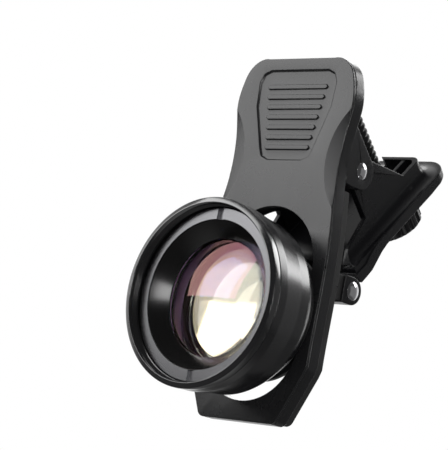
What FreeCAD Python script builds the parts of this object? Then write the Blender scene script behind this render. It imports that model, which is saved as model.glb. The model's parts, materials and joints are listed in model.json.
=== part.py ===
"""Clip on phone lens: a sliding lens on a spring clip with a clamping screw.

Frame: millimetres, +Z up, +Y from the lens's front towards the phone.
The origin is on the lens axis, at the face of the front pad that meets the phone.
"""
import FreeCAD
import Part
import math
import os

V = FreeCAD.Vector

# Lens: radii, each ring worked out from the rim by its wall or step
RIM_R = 20.0
LIP_EDGE = 1.0
RIM_WALL = 1.5
RIM_STEP = 0.75
RELIEF = 0.42
BARREL_STEP = 0.1
BARREL_WAIST = 0.9
BARREL_TAPER = 1.25
BARREL_WALL = 3.25
RING_W = 2.69
FUNNEL_W = 3.31
GLASS_SEAT = 1.9
GLASS_BULGE = 2.1084
SHELF_W = 3.6
MOUTH_WALL = 2.3
MOUTH_STEP = 1.4
SHOULDER_W = 3.05
LENS_CLEAR = 0.05

# Lens: distances ahead of the plate's front face, worked out from the lip
LIP_A = 18.8
LIP_CHAMFER = 0.44
RIM_H = 2.12
RING_DROP = 2.52
RING_T = 1.4
NOTCH_W = 1.5
NOTCH_DEPTH = 0.8
FUNNEL_H = 3.18
FUNNEL_LIP = 0.35
GLASS_GAP = 0.06
GLASS_POCKET = 3.7
SHELF_T = 0.8
SPACER_ROOM = 3.8
COLLAR_H = 1.8
FLANGE_A = 1.1

# Front plate
PAD_T = 2.2
PLATE_T = 3.8
COVER_T = 0.72
SLOT_HALF_W = 13.1
SLOT_LOW_Z = -5.9
SLOT_HIGH_Z = 9.6
RAIL_W = 3.2
FOOT_WALL = 4.2
FOOT_IN = 6.1
FOOT_CHAMFER_H = 11.6
WAIST_IN = 1.6
CHEST_IN = 0.4
PIVOT_RISE = 10.2
WAIST_RISE = 1.1
HANDLE_H = 22.5
SCALLOP_R = 16.0
SCALLOP_DEPTH = 0.58
SCALLOP_IN = 3.3
RECESS_DEPTH = 0.42
RECESS_IN = 5.9
RECESS_TOP_GAP = 2.8
RECESS_H = 19.6
RIB_COUNT = 7

# Slide: hub, washer and nut
SLIDE_CLEAR = 0.2
HUB_WALL = 3.9
HUB_STEP = 2.2
WASHER_T = 0.42
WASHER_IN = 0.85
NUT_LAP = 1.1
NUT_T = 1.25
TAIL_WALL = 1.35

# Hinge
PIVOT_BACK = 4.85
EAR_R = 3.95
EAR_T = 2.0
WEB_BOSS_IN = 0.25
WEB_GAP = 0.3
WEB_T = 1.5
PIN_R = 1.2
PIN_CLEAR = 0.05
PIN_HEAD_LAP = 0.6
PIN_HEAD_H = 0.55
SPRING_WIRE_R = 0.42
SPRING_CLEAR = 0.53
SPRING_TURNS = 5
SPRING_GAP = 0.21

# Rear arm, in its own frame: t runs up its skin and n stands out of it
ARM_LEAN_DEG = 41.0
ARM_BACK = 17.75
ARM_DROP = 3.1
ARM_OVERHANG = 0.5
ARM_SKIN_T = 2.2
HANDLE_END_T = 17.6
HANDLE_CORNER_R = 5.7
RIM_DEPTH = 4.75
RIM_SIDE_IN = 2.8
RIM_END_IN = 5.4
RIM_CORNER_R = 2.2
TRAY_WALL = 1.1
COVE_H = 2.8
WEB_LOW_T = -11.3
RIB_IN = 4.2
RIB_T = 1.0

# Clamping screw
SCREW_IN = 3.3
SCREW_R = 2.55
THREAD_DEPTH = 0.42
THREAD_PITCH = 1.47
SCREW_CLEAR = 0.08
BUSH_WALL = 1.05
BOSS_WALL = 2.6
BOSS_RISE = 0.9
KNOB_WALL = 4.39
KNOB_STAND = 3.4
KNOB_H = 5.5
KNOB_GRIPS = 16
GRIP_R = 0.62
SCREW_REACH = 20.2
TIP_H = 2.4
TIP_LAP = 0.45
NECK_IN = 1.05

# Jaw
JAW_R = 2.95
JAW_FACE = 0.05
JAW_PAD_T = 2.92
JAW_PAD_GAP = 0.08
JAW_DROP = 25.15
JAW_PIN_R = 1.0
JAW_HEAD_LAP = 1.0
JAW_HEAD_H = 0.5
CHEEK_W = 4.2
TONGUE_IN = 0.85
JAW_CLEAR = 0.2

# Worked out: lens
LIP_R = RIM_R - LIP_EDGE
FILTER_R = RIM_R - RIM_WALL
RELIEF_R = FILTER_R + RELIEF
SEAT_R = FILTER_R + 0.25
BARREL_FRONT_R = RIM_R - BARREL_STEP
BARREL_WAIST_R = RIM_R - BARREL_WAIST
BARREL_BACK_R = RIM_R - BARREL_TAPER
BARREL_BORE_R = BARREL_BACK_R - BARREL_WALL
RING_HOLE_R = FILTER_R - RING_W
FUNNEL_R = RING_HOLE_R - FUNNEL_W
GLASS_R = FILTER_R - GLASS_SEAT
GLASS_CURVE_R = GLASS_R * GLASS_BULGE
SHELF_R = GLASS_R - SHELF_W
MOUTH_R = BARREL_BORE_R - MOUTH_WALL
THROAT_R = MOUTH_R - MOUTH_STEP
SHOULDER_R = SLOT_HALF_W + SHOULDER_W
LIP_CHAMFER_A = LIP_A - LIP_CHAMFER
GROOVE_A = LIP_A - RIM_H
RING_FACE_A = LIP_A - RING_DROP
FUNNEL_A = RING_FACE_A - FUNNEL_H
GLASS_SAG = GLASS_CURVE_R - math.sqrt(GLASS_CURVE_R ** 2 - FUNNEL_R ** 2)
GLASS_APEX_A = FUNNEL_A - FUNNEL_LIP - GLASS_GAP + GLASS_SAG
SHELF_A = FUNNEL_A - GLASS_POCKET
BARREL_BACK_A = SHELF_A - SPACER_ROOM
COLLAR_A = BARREL_BACK_A + COLLAR_H

# Worked out: plate and slide
PLATE_HALF_W = SLOT_HALF_W + RAIL_W
WAIST_HALF_W = PLATE_HALF_W - WAIST_IN
CHEST_HALF_W = PLATE_HALF_W - CHEST_IN
FOOT_HALF_W = PLATE_HALF_W - FOOT_IN
RECESS_HALF_W = PLATE_HALF_W - RECESS_IN
PIVOT_Z = SLOT_HIGH_Z + SLOT_HALF_W + PIVOT_RISE
WAIST_Z = PIVOT_Z + WAIST_RISE
PLATE_TOP_Z = PIVOT_Z + HANDLE_H
PLATE_LOW_Z = SLOT_LOW_Z - SLOT_HALF_W - FOOT_WALL
HUB_BORE_R = SLOT_HALF_W - SLIDE_CLEAR - HUB_WALL
HUB_STEP_R = HUB_BORE_R + HUB_STEP
WASHER_R = SHOULDER_R - WASHER_IN
NUT_R = SLOT_HALF_W + NUT_LAP
TAIL_LEN = PLATE_T + NUT_T - LENS_CLEAR
TAIL_BORE_R = HUB_BORE_R - LENS_CLEAR - TAIL_WALL

# Worked out: hinge, arm, screw and jaw
WEB_BOSS_R = EAR_R - WEB_BOSS_IN
PIN_HEAD_R = PIN_R + PIN_HEAD_LAP
SPRING_COIL_R = PIN_R + SPRING_CLEAR + SPRING_WIRE_R
SPRING_PITCH = 2 * SPRING_WIRE_R + SPRING_GAP
ARM_Y = PIVOT_BACK - PAD_T + ARM_BACK
ARM_Z = PIVOT_Z - ARM_DROP
ARM_HALF_W = WAIST_HALF_W + ARM_OVERHANG
RIM_HALF_W = ARM_HALF_W - RIM_SIDE_IN
RIM_END_T = HANDLE_END_T - RIM_END_IN
TRAY_LOW_T = -JAW_DROP - 1
RIB_X = RIM_HALF_W - RIB_IN
SCREW_T = RIM_END_T - SCREW_IN
INSERT_R = SCREW_R + BUSH_WALL
BOSS_R = INSERT_R + BOSS_WALL
BOSS_TOP = ARM_SKIN_T + BOSS_RISE
KNOB_R = SCREW_R + KNOB_WALL
KNOB_LOW = BOSS_TOP + KNOB_STAND
KNOB_TOP = KNOB_LOW + KNOB_H
TIP_END = -SCREW_REACH
TIP_R = SCREW_R + TIP_LAP
NECK_R = SCREW_R - NECK_IN
JAW_FRONT = JAW_R + JAW_FACE
JAW_PIN_Y = JAW_PAD_GAP + JAW_PAD_T + JAW_FRONT
JAW_PIN_Z = PIVOT_Z - JAW_DROP
JAW_HEAD_R = JAW_PIN_R + JAW_HEAD_LAP
TONGUE_R = JAW_R - TONGUE_IN

# Derived planes
PLATE_BACK_Y = -PAD_T
PLATE_FRONT_Y = -PAD_T - PLATE_T
COVER_BACK_Y = PLATE_FRONT_Y + COVER_T
PIVOT_Y = PLATE_BACK_Y + PIVOT_BACK


def face_of(edges):
    """Return the face inside a closed run of edges."""
    return Part.Face(Part.Wire(edges))


def polygon(points):
    """Return the face inside a closed polygon."""
    return Part.Face(Part.makePolygon(points + [points[0]]))


def prism_x(points, x_low, x_high):
    """Return a (y, z) polygon pulled along X."""
    face = polygon([V(x_low, y, z) for y, z in points])
    return face.extrude(V(x_high - x_low, 0, 0))


def prism_y(points, y_low, y_high):
    """Return an (x, z) polygon pulled along Y."""
    face = polygon([V(x, y_low, z) for x, z in points])
    return face.extrude(V(0, y_high - y_low, 0))


def prism_z(points, z_low, z_high):
    """Return an (x, y) polygon pulled along Z."""
    face = polygon([V(x, y, z_low) for x, y in points])
    return face.extrude(V(0, 0, z_high - z_low))


def rod_x(radius, y, z, x_low, x_high):
    """Return a cylinder along X."""
    return Part.makeCylinder(radius, x_high - x_low, V(x_low, y, z), V(1, 0, 0))


def rod_y(radius, x, z, y_low, y_high):
    """Return a cylinder along Y."""
    return Part.makeCylinder(radius, y_high - y_low, V(x, y_low, z), V(0, 1, 0))


def turned(profile, to_y):
    """Return an (r, a) profile turned about the Y axis."""
    face = polygon([V(r, to_y(a), 0) for r, a in profile])
    return face.revolve(V(0, 0, 0), V(0, 1, 0), 360)


def from_plate(a):
    """Return the Y of a point that is a ahead of the plate's front face."""
    return PLATE_FRONT_Y - a


def lens_part(profile):
    """Return a lens ring or glass from its (r, a) profile."""
    return turned(profile, from_plate)


def both_sides(shape):
    """Return a shape joined with its mirror image in X."""
    return shape.fuse(shape.mirror(V(0, 0, 0), V(1, 0, 0)))


def on_arm(shape):
    """Move a shape from the arm's own (x, n, t) frame to the clip's."""
    moved = shape.copy()
    moved.rotate(V(0, 0, 0), V(1, 0, 0), -ARM_LEAN_DEG)
    moved.translate(V(0, ARM_Y, ARM_Z))
    return moved


def to_arm(y, z):
    """Return a point of the clip's frame as (n, t) of the arm's frame."""
    lean = math.radians(ARM_LEAN_DEG)
    dy = y - ARM_Y
    dz = z - ARM_Z
    n = dy * math.cos(lean) - dz * math.sin(lean)
    t = dy * math.sin(lean) + dz * math.cos(lean)
    return n, t


def arc_points(centre_y, centre_z, radius, start_deg, end_deg, steps):
    """Return points on a (y, z) arc."""
    points = []
    for i in range(steps + 1):
        angle = math.radians(start_deg + (end_deg - start_deg) * i / steps)
        y = centre_y + radius * math.cos(angle)
        z = centre_z + radius * math.sin(angle)
        points.append((y, z))
    return points


# Front plate, cover and pad

def plate_side(inset):
    """Return the right side of the plate's outline as (x, z) points."""
    wide = PLATE_HALF_W - inset
    waist = WAIST_HALF_W - inset
    chest = CHEST_HALF_W - inset
    top = PLATE_TOP_Z - inset
    chamfer_top = PLATE_LOW_Z + FOOT_CHAMFER_H
    rise = WAIST_Z - 10.0
    chest_z = WAIST_Z + (PLATE_TOP_Z - WAIST_Z) * 0.56
    corner = top - chest_z
    return [
        (wide, chamfer_top + 1.2),
        (wide, 0.0),
        (wide + 0.05, 10.0),
        (wide - (wide - waist) * 0.20, 10.0 + rise * 0.34),
        (wide - (wide - waist) * 0.58, 10.0 + rise * 0.60),
        (waist + 0.12, 10.0 + rise * 0.82),
        (waist, WAIST_Z),
        (waist + (chest - waist) * 0.32, WAIST_Z + (chest_z - WAIST_Z) * 0.38),
        (waist + (chest - waist) * 0.74, WAIST_Z + (chest_z - WAIST_Z) * 0.68),
        (chest, chest_z),
        (chest - 0.65, chest_z + corner * 0.42),
        (chest - 1.85, chest_z + corner * 0.74),
        (chest - 4.0, chest_z + corner * 0.945),
        (chest - 7.0, top),
    ]


def plate_slab(y_low, y_high, inset):
    """Return a slab with the plate's outline."""
    side = plate_side(inset)
    low = PLATE_LOW_Z + inset
    foot = FOOT_HALF_W - inset * 0.5
    right = Part.BSplineCurve()
    right.interpolate([V(x, y_low, z) for x, z in side])
    left = Part.BSplineCurve()
    left.interpolate([V(-x, y_low, z) for x, z in reversed(side)])
    start = V(side[0][0], y_low, side[0][1])
    end = V(side[-1][0], y_low, side[-1][1])
    start_left = V(-start.x, y_low, start.z)
    end_left = V(-end.x, y_low, end.z)
    shoulder = V(side[0][0] - 0.55, y_low, side[0][1] - 1.6)
    ankle = V(foot + 0.75, y_low, low + 1.2)
    toe = V(foot - 0.7, y_low, low)
    edges = [
        right.toShape(),
        Part.makeLine(end, end_left),
        left.toShape(),
        Part.makeLine(start_left, V(-shoulder.x, y_low, shoulder.z)),
        Part.makeLine(V(-shoulder.x, y_low, shoulder.z), V(-ankle.x, y_low, ankle.z)),
        Part.Arc(
            V(-ankle.x, y_low, ankle.z),
            V(-(ankle.x + toe.x) / 2 - 0.12, y_low, (ankle.z + toe.z) / 2 - 0.24),
            V(-toe.x, y_low, toe.z),
        ).toShape(),
        Part.makeLine(V(-toe.x, y_low, toe.z), toe),
        Part.Arc(
            toe,
            V((ankle.x + toe.x) / 2 + 0.12, y_low, (ankle.z + toe.z) / 2 - 0.24),
            ankle,
        ).toShape(),
        Part.makeLine(ankle, shoulder),
        Part.makeLine(shoulder, start),
    ]
    return face_of(edges).extrude(V(0, y_high - y_low, 0))


def slot_block(half_w, y_low, y_high):
    """Return the long round-ended slot as a block."""
    body = Part.makeBox(2 * half_w, y_high - y_low, SLOT_HIGH_Z - SLOT_LOW_Z, V(-half_w, y_low, SLOT_LOW_Z))
    low = rod_y(half_w, 0, SLOT_LOW_Z, y_low, y_high)
    high = rod_y(half_w, 0, SLOT_HIGH_Z, y_low, y_high)
    return body.fuse([low, high]).removeSplitter()


def ear():
    """Return one hinge ear of the plate."""
    rise = 9.3
    points = [
        (PLATE_BACK_Y - 0.6, PIVOT_Z + rise),
        (PLATE_BACK_Y + 0.4, PIVOT_Z + rise - 0.2),
        (PLATE_BACK_Y + 1.1, PIVOT_Z + rise - 0.9),
        (PIVOT_Y + EAR_R * 0.574, PIVOT_Z + EAR_R * 0.819),
        (PIVOT_Y + EAR_R * 0.87, PIVOT_Z - EAR_R * 0.50),
        (PIVOT_Y + EAR_R * 0.35, PIVOT_Z - EAR_R * 0.96),
        (PIVOT_Y - EAR_R * 0.55, PIVOT_Z - EAR_R * 1.01),
        (PLATE_BACK_Y - 0.6, PIVOT_Z - EAR_R * 0.94),
    ]
    high = WAIST_HALF_W
    low = WAIST_HALF_W - EAR_T
    blade = prism_x(points, low, high)
    boss = rod_x(EAR_R, PIVOT_Y, PIVOT_Z, low, high)
    return blade.fuse(boss).removeSplitter()


def front_arm():
    """Return the plate body with its slot and ears."""
    slab = plate_slab(COVER_BACK_Y, PLATE_BACK_Y, 0.0)
    body = slab.fuse(both_sides(ear()))
    body = body.cut(slot_block(SLOT_HALF_W, COVER_BACK_Y - 1, PLATE_BACK_Y + 1))
    body = body.cut(rod_x(PIN_R, PIVOT_Y, PIVOT_Z, -ARM_HALF_W * 2, ARM_HALF_W * 2))
    return body.removeSplitter()


def scallop():
    """Return the cutter for the long bevel at one side of the waist."""
    run = SCALLOP_IN / SCALLOP_DEPTH
    reach = 1.0
    depth = SCALLOP_DEPTH * 1.6
    centre_x = WAIST_HALF_W - SCALLOP_IN + SCALLOP_R
    ring = Part.makeCircle(
        SCALLOP_R,
        V(centre_x - run * reach, PLATE_FRONT_Y - reach, WAIST_Z - 0.9),
        V(0, 1, 0),
    )
    disc = Part.Face(Part.Wire([ring]))
    cutter = disc.extrude(V(run * (reach + depth), reach + depth, 0))
    keep = Part.makeBox(60, 20, 120, V(0.5, PLATE_FRONT_Y - 10, -40))
    return cutter.common(keep)


def recess_outline(inset):
    """Return the thumb recess outline as (x, z) points."""
    top = PLATE_TOP_Z - RECESS_TOP_GAP - inset
    low = top - RECESS_H + 2 * inset
    wide = RECESS_HALF_W - inset
    narrow = RECESS_HALF_W * 0.69 - inset
    corner = 2.6
    return [
        (wide, top - corner),
        (wide - corner * 0.3, top - corner * 0.3),
        (wide - corner, top),
        (-wide + corner, top),
        (-wide + corner * 0.3, top - corner * 0.3),
        (-wide, top - corner),
        (-wide + 0.3, top - RECESS_H * 0.40),
        (-narrow, low + corner),
        (-narrow + corner * 0.3, low + corner * 0.3),
        (-narrow + corner, low),
        (narrow - corner, low),
        (narrow - corner * 0.3, low + corner * 0.3),
        (narrow, low + corner),
        (wide - 0.3, top - RECESS_H * 0.40),
    ]


def face_cover():
    """Return the thin front layer with its recess, grip ribs and bevels."""
    slab = plate_slab(PLATE_FRONT_Y, COVER_BACK_Y, 0.0)
    slab = slab.cut(slot_block(SLOT_HALF_W, PLATE_FRONT_Y - 1, COVER_BACK_Y + 1))
    slab = slab.cut(both_sides(scallop()))
    recess = prism_y(recess_outline(0.0), PLATE_FRONT_Y - 1, PLATE_FRONT_Y + RECESS_DEPTH)
    slab = slab.cut(recess)
    top = PLATE_TOP_Z - RECESS_TOP_GAP
    step = (RECESS_H - 4.0) / RIB_COUNT
    rib_h = step * 0.44
    ribs = []
    for i in range(RIB_COUNT):
        z = top - 2.4 - step * (i + 0.5)
        share = (top - z) / RECESS_H
        half = RECESS_HALF_W * (1.0 - 0.30 * share) - 2.0
        points = [
            (-half, z - rib_h / 2),
            (half, z - rib_h / 2),
            (half + rib_h * 0.5, z),
            (half, z + rib_h / 2),
            (-half, z + rib_h / 2),
            (-half - rib_h * 0.5, z),
        ]
        y_low = PLATE_FRONT_Y + RECESS_DEPTH * 0.2
        ribs.append(prism_y(points, y_low, PLATE_FRONT_Y + RECESS_DEPTH))
    return slab.fuse(ribs).removeSplitter()


def front_pad():
    """Return the soft pad round the slot on the plate's back."""
    edge = 0.45
    slab = plate_slab(PLATE_BACK_Y, 0.0, edge)
    top = PIVOT_Z - EAR_R - 1.4
    below = Part.makeBox(80, 20, 80, V(-40, -10, top - 80))
    slab = slab.common(below)
    return slab.cut(slot_block(NUT_R + 0.3, PLATE_BACK_Y - 1, 1.0))


def headed_pin(radius, head_r, head_h, y, z, half_span):
    """Return a cross pin with a low domed head at each end."""
    shaft = rod_x(radius, y, z, -half_span, half_span)
    dome = (head_r ** 2 + head_h ** 2) / (2 * head_h)
    ball = Part.makeSphere(dome, V(half_span + head_h - dome, y, z))
    cap = ball.common(rod_x(head_r, y, z, half_span, half_span + head_h * 1.5))
    return shaft.fuse(both_sides(cap)).removeSplitter()


def pivot_pin():
    """Return the hinge pin."""
    return headed_pin(PIN_R, PIN_HEAD_R, PIN_HEAD_H, PIVOT_Y, PIVOT_Z, WAIST_HALF_W)


def straight_wire(start, direction, length):
    """Return a straight round wire."""
    return Part.makeCylinder(SPRING_WIRE_R, length, start, direction)


def torsion_spring():
    """Return the coil round the pin and its leg on the plate."""
    height = SPRING_TURNS * SPRING_PITCH
    lean_deg = 20.0
    helix = Part.makeHelix(SPRING_PITCH, height, SPRING_COIL_R)
    start = V(SPRING_COIL_R, 0, 0)
    section = Part.Wire([Part.makeCircle(SPRING_WIRE_R, start, V(0, 1, 0))])
    coil = Part.Wire(helix).makePipeShell([section], True, True)
    lean = math.radians(lean_deg)
    coil.rotate(V(0, 0, 0), V(0, 0, 1), 90)
    coil.rotate(V(0, 0, 0), V(0, 1, 0), 90)
    coil.rotate(V(0, 0, 0), V(1, 0, 0), 180 + lean_deg)
    coil.translate(V(-height / 2, PIVOT_Y, PIVOT_Z))
    y = PIVOT_Y - SPRING_COIL_R * math.cos(lean)
    z = PIVOT_Z - SPRING_COIL_R * math.sin(lean)
    reach = (y - PLATE_BACK_Y - SPRING_WIRE_R - 0.05) / math.sin(lean)
    leg = straight_wire(V(-height / 2, y, z), V(0, -math.sin(lean), math.cos(lean)), reach)
    return coil.fuse(leg)


def spring_leg():
    """Return the spring's leg under the arm's skin."""
    height = SPRING_TURNS * SPRING_PITCH
    x = height / 2 + 2 * SPRING_WIRE_R + 0.08
    dip = math.radians(15.0)
    start = V(x, PIVOT_Y + SPRING_COIL_R * math.sin(dip), PIVOT_Z + SPRING_COIL_R * math.cos(dip))
    direction = V(0, math.cos(dip), -math.sin(dip))
    n_start, t_start = to_arm(start.y, start.z)
    n_end, t_end = to_arm(start.y + direction.y, start.z + direction.z)
    slope = n_end - n_start
    reach = (-SPRING_WIRE_R - 0.05 - n_start) / slope - SPRING_WIRE_R
    return straight_wire(start, direction, reach)


# Rear arm

def rounded_plan(half_w, t_low, t_high, corner, n):
    """Return a plan outline of the arm, round at its upper corners, as a wire."""
    k = corner * (1 - math.sqrt(0.5))
    points = [
        V(-half_w, n, t_low),
        V(half_w, n, t_low),
        V(half_w, n, t_high - corner),
        V(half_w - corner, n, t_high),
        V(-half_w + corner, n, t_high),
        V(-half_w, n, t_high - corner),
    ]
    edges = [
        Part.makeLine(points[0], points[1]),
        Part.makeLine(points[1], points[2]),
        Part.Arc(points[2], V(half_w - k, n, t_high - k), points[3]).toShape(),
        Part.makeLine(points[3], points[4]),
        Part.Arc(points[4], V(-half_w + k, n, t_high - k), points[5]).toShape(),
        Part.makeLine(points[5], points[0]),
    ]
    return Part.Wire(edges)


def skin():
    """Return the arm's bent skin with its crowned back."""
    end = HANDLE_END_T
    skin_t = ARM_SKIN_T
    jaw_n, jaw_t = to_arm(JAW_PIN_Y, JAW_PIN_Z)
    inner = [
        (0.0, end),
        (0.0, jaw_t + 12.9),
        (jaw_n * 0.083, jaw_t + 10.9),
        (jaw_n * 0.222, jaw_t + 8.9),
        (jaw_n * 0.403, jaw_t + 7.1),
        (jaw_n * 0.389, jaw_t + 1.2),
    ]
    outer = [
        (jaw_n + 0.35, jaw_t + 3.6),
        (jaw_n + 0.35, jaw_t + 5.6),
        (jaw_n + 0.25, jaw_t + 8.0),
        (skin_t + 0.85, jaw_t + 10.9),
        (skin_t + 0.3, jaw_t + 12.9),
        (skin_t, jaw_t + 15.3),
        (skin_t, 0.0),
        (skin_t + 0.1, 8.0),
        (skin_t - 0.1, end * 0.68),
        (skin_t - 0.6, end * 0.86),
        (skin_t - 1.5, end),
    ]
    points = [V(-ARM_HALF_W, n, t) for n, t in inner + outer]
    slab = Part.Face(Part.makePolygon(points + [points[0]])).extrude(V(2 * ARM_HALF_W, 0, 0))
    plan = Part.Face(rounded_plan(ARM_HALF_W, -40, end, HANDLE_CORNER_R, -5)).extrude(V(0, 20, 0))
    return slab.common(plan)


def tray_plan(flare, n):
    """Return the tray's outer plan at one height. flare is 0 on the wall and 1 at the skin's edge."""
    half_w = RIM_HALF_W + (ARM_HALF_W - RIM_HALF_W) * flare
    t_high = RIM_END_T + (HANDLE_END_T - RIM_END_T) * flare
    corner = RIM_CORNER_R + (HANDLE_CORNER_R - RIM_CORNER_R) * flare
    return rounded_plan(half_w, TRAY_LOW_T, t_high, corner, n)


def tray():
    """Return the walls round the handle, coved out to the skin's edge and tapered to the jaw."""
    jaw_n, jaw_t = to_arm(JAW_PIN_Y, JAW_PIN_Z)
    wall = Part.Face(tray_plan(0.0, -RIM_DEPTH)).extrude(V(0, RIM_DEPTH + 1.5, 0))
    cove = []
    for i in range(7):
        angle = math.radians(90.0 * i / 6)
        cove.append(tray_plan(1 - math.cos(angle), COVE_H * (math.sin(angle) - 1)))
    flare = Part.makeLoft(cove, True, False)
    bend_w = ARM_HALF_W - 0.3
    bend = Part.makeBox(2 * bend_w, 1.6, -10.0 - TRAY_LOW_T, V(-bend_w, -0.1, TRAY_LOW_T))
    walls = wall.fuse([flare, bend])
    cavity_w = RIM_HALF_W - TRAY_WALL
    cavity_end = RIM_END_T - TRAY_WALL
    cavity_plan = rounded_plan(cavity_w, TRAY_LOW_T - 1, cavity_end, RIM_CORNER_R - TRAY_WALL * 0.6, -RIM_DEPTH - 1)
    walls = walls.cut(Part.Face(cavity_plan).extrude(V(0, RIM_DEPTH + 4, 0)))
    taper = prism_x(
        [
            (-RIM_DEPTH - 4, WEB_LOW_T),
            (-RIM_DEPTH, WEB_LOW_T),
            (-RIM_DEPTH * 0.55, jaw_t + 6.5),
            (0.4, jaw_t + 3.4),
            (3.5, jaw_t + 3.0),
            (3.5, TRAY_LOW_T - 1),
            (-RIM_DEPTH - 4, TRAY_LOW_T - 1),
        ],
        -ARM_HALF_W - 2,
        ARM_HALF_W + 2,
    )
    return walls.cut(taper)


def web():
    """Return one side web from the skin to the hinge boss."""
    pivot_n, pivot_t = to_arm(PIVOT_Y, PIVOT_Z)
    top_n, top_t = to_arm(PIVOT_Y, PIVOT_Z + WEB_BOSS_R)
    outer_x = WAIST_HALF_W - EAR_T - WEB_GAP
    inner_x = outer_x - WEB_T
    lean = math.radians(ARM_LEAN_DEG)
    rim_t = top_t + (-RIM_DEPTH - top_n) * math.tan(lean)
    points = [
        (pivot_n, pivot_t),
        (top_n, top_t),
        (-RIM_DEPTH, rim_t),
        (-0.5, rim_t + 1.0),
        (0.2, rim_t + 1.0),
        (0.2, WEB_LOW_T),
        (pivot_n + 2.0, WEB_LOW_T + 0.1),
    ]
    blade = prism_x(points, inner_x, outer_x)
    boss = Part.makeCylinder(WEB_BOSS_R, WEB_T, V(inner_x, pivot_n, pivot_t), V(1, 0, 0))
    return blade.fuse(boss)


def tongue():
    """Return the middle of the arm's lower end, round about the jaw pin."""
    half = ARM_HALF_W - CHEEK_W - JAW_CLEAR
    points = [
        (JAW_PIN_Y - TONGUE_R, JAW_PIN_Z),
        (JAW_PIN_Y - TONGUE_R * 0.33, JAW_PIN_Z + TONGUE_R * 1.24),
        (JAW_PIN_Y + TONGUE_R * 0.6, JAW_PIN_Z + TONGUE_R * 2.0),
        (JAW_PIN_Y + TONGUE_R * 1.7, JAW_PIN_Z + TONGUE_R * 1.9),
        (JAW_PIN_Y + TONGUE_R * 1.3, JAW_PIN_Z + TONGUE_R * 1.1),
        (JAW_PIN_Y + TONGUE_R, JAW_PIN_Z),
    ]
    neck = prism_x(points, -half, half)
    return neck.fuse(rod_x(TONGUE_R, JAW_PIN_Y, JAW_PIN_Z, -half, half))


def rear_arm():
    """Return the rear arm: skin, tray, webs, ribs, screw boss and tongue."""
    outer_x = WAIST_HALF_W - EAR_T - WEB_GAP
    boss = Part.makeCone(BOSS_R, BOSS_R - 1.0, BOSS_TOP - 1.0, V(0, 1.0, SCREW_T), V(0, 1, 0))
    rib_end = RIM_END_T - TRAY_WALL * 0.5
    rib_low = SCREW_T - 6.0
    rib = prism_x(
        [
            (0.3, rib_low - 3.5),
            (0.3, rib_end + 2.0),
            (-RIM_DEPTH + 0.2, rib_end),
            (-RIM_DEPTH + 0.2, rib_low + 2.0),
        ],
        RIB_X - RIB_T / 2,
        RIB_X + RIB_T / 2,
    )
    pieces = [tray(), both_sides(web()), both_sides(rib), boss]
    local = skin().fuse(pieces)
    hole = Part.makeCylinder(INSERT_R, 20, V(0, -6, SCREW_T), V(0, 1, 0))
    local = local.cut(hole)
    arm = on_arm(local)
    relief = JAW_R + JAW_CLEAR
    cheek = rod_x(relief, JAW_PIN_Y, JAW_PIN_Z, ARM_HALF_W - CHEEK_W - JAW_CLEAR, ARM_HALF_W + 1)
    arm = arm.cut(both_sides(cheek))
    front = Part.makeBox(80, 10, 12, V(-40, JAW_PIN_Y - JAW_R * 1.2 - 10, JAW_PIN_Z - 6))
    arm = arm.cut(front)
    arm = arm.fuse(tongue())
    arm = arm.cut(rod_x(PIN_R + PIN_CLEAR, PIVOT_Y, PIVOT_Z, -outer_x - 1, outer_x + 1))
    arm = arm.cut(rod_x(JAW_PIN_R, JAW_PIN_Y, JAW_PIN_Z, -ARM_HALF_W, ARM_HALF_W))
    return arm.removeSplitter()


# Clamping screw

def screw_insert():
    """Return the threaded bush in the arm's boss."""
    bush = Part.makeCylinder(INSERT_R, BOSS_TOP + 0.1, V(0, 0, SCREW_T), V(0, 1, 0))
    bore = Part.makeCylinder(SCREW_R + SCREW_CLEAR, 30, V(0, -10, SCREW_T), V(0, 1, 0))
    return on_arm(bush.cut(bore))


def clamp_screw():
    """Return the coarse threaded rod."""
    root = SCREW_R - THREAD_DEPTH
    neck_end = TIP_END + 0.9
    thread_low = TIP_END + TIP_H + 0.05
    profile = [(0.0, neck_end), (NECK_R, neck_end), (NECK_R, thread_low), (root, thread_low)]
    count = int((KNOB_LOW - thread_low - 0.6) / THREAD_PITCH)
    first = KNOB_LOW - 0.3 - count * THREAD_PITCH
    flat = THREAD_PITCH * 0.14
    for i in range(count):
        low = first + i * THREAD_PITCH
        profile.append((root, low))
        profile.append((SCREW_R, low + THREAD_PITCH * 0.5 - flat))
        profile.append((SCREW_R, low + THREAD_PITCH * 0.5 + flat))
    profile.append((root, KNOB_LOW - 0.3))
    profile.append((root, KNOB_TOP - 2.0))
    profile.append((0.0, KNOB_TOP - 2.0))
    points = [V(r, n, SCREW_T) for r, n in profile]
    face = Part.Face(Part.makePolygon(points + [points[0]]))
    return on_arm(face.revolve(V(0, 0, SCREW_T), V(0, 1, 0), 360))


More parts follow.
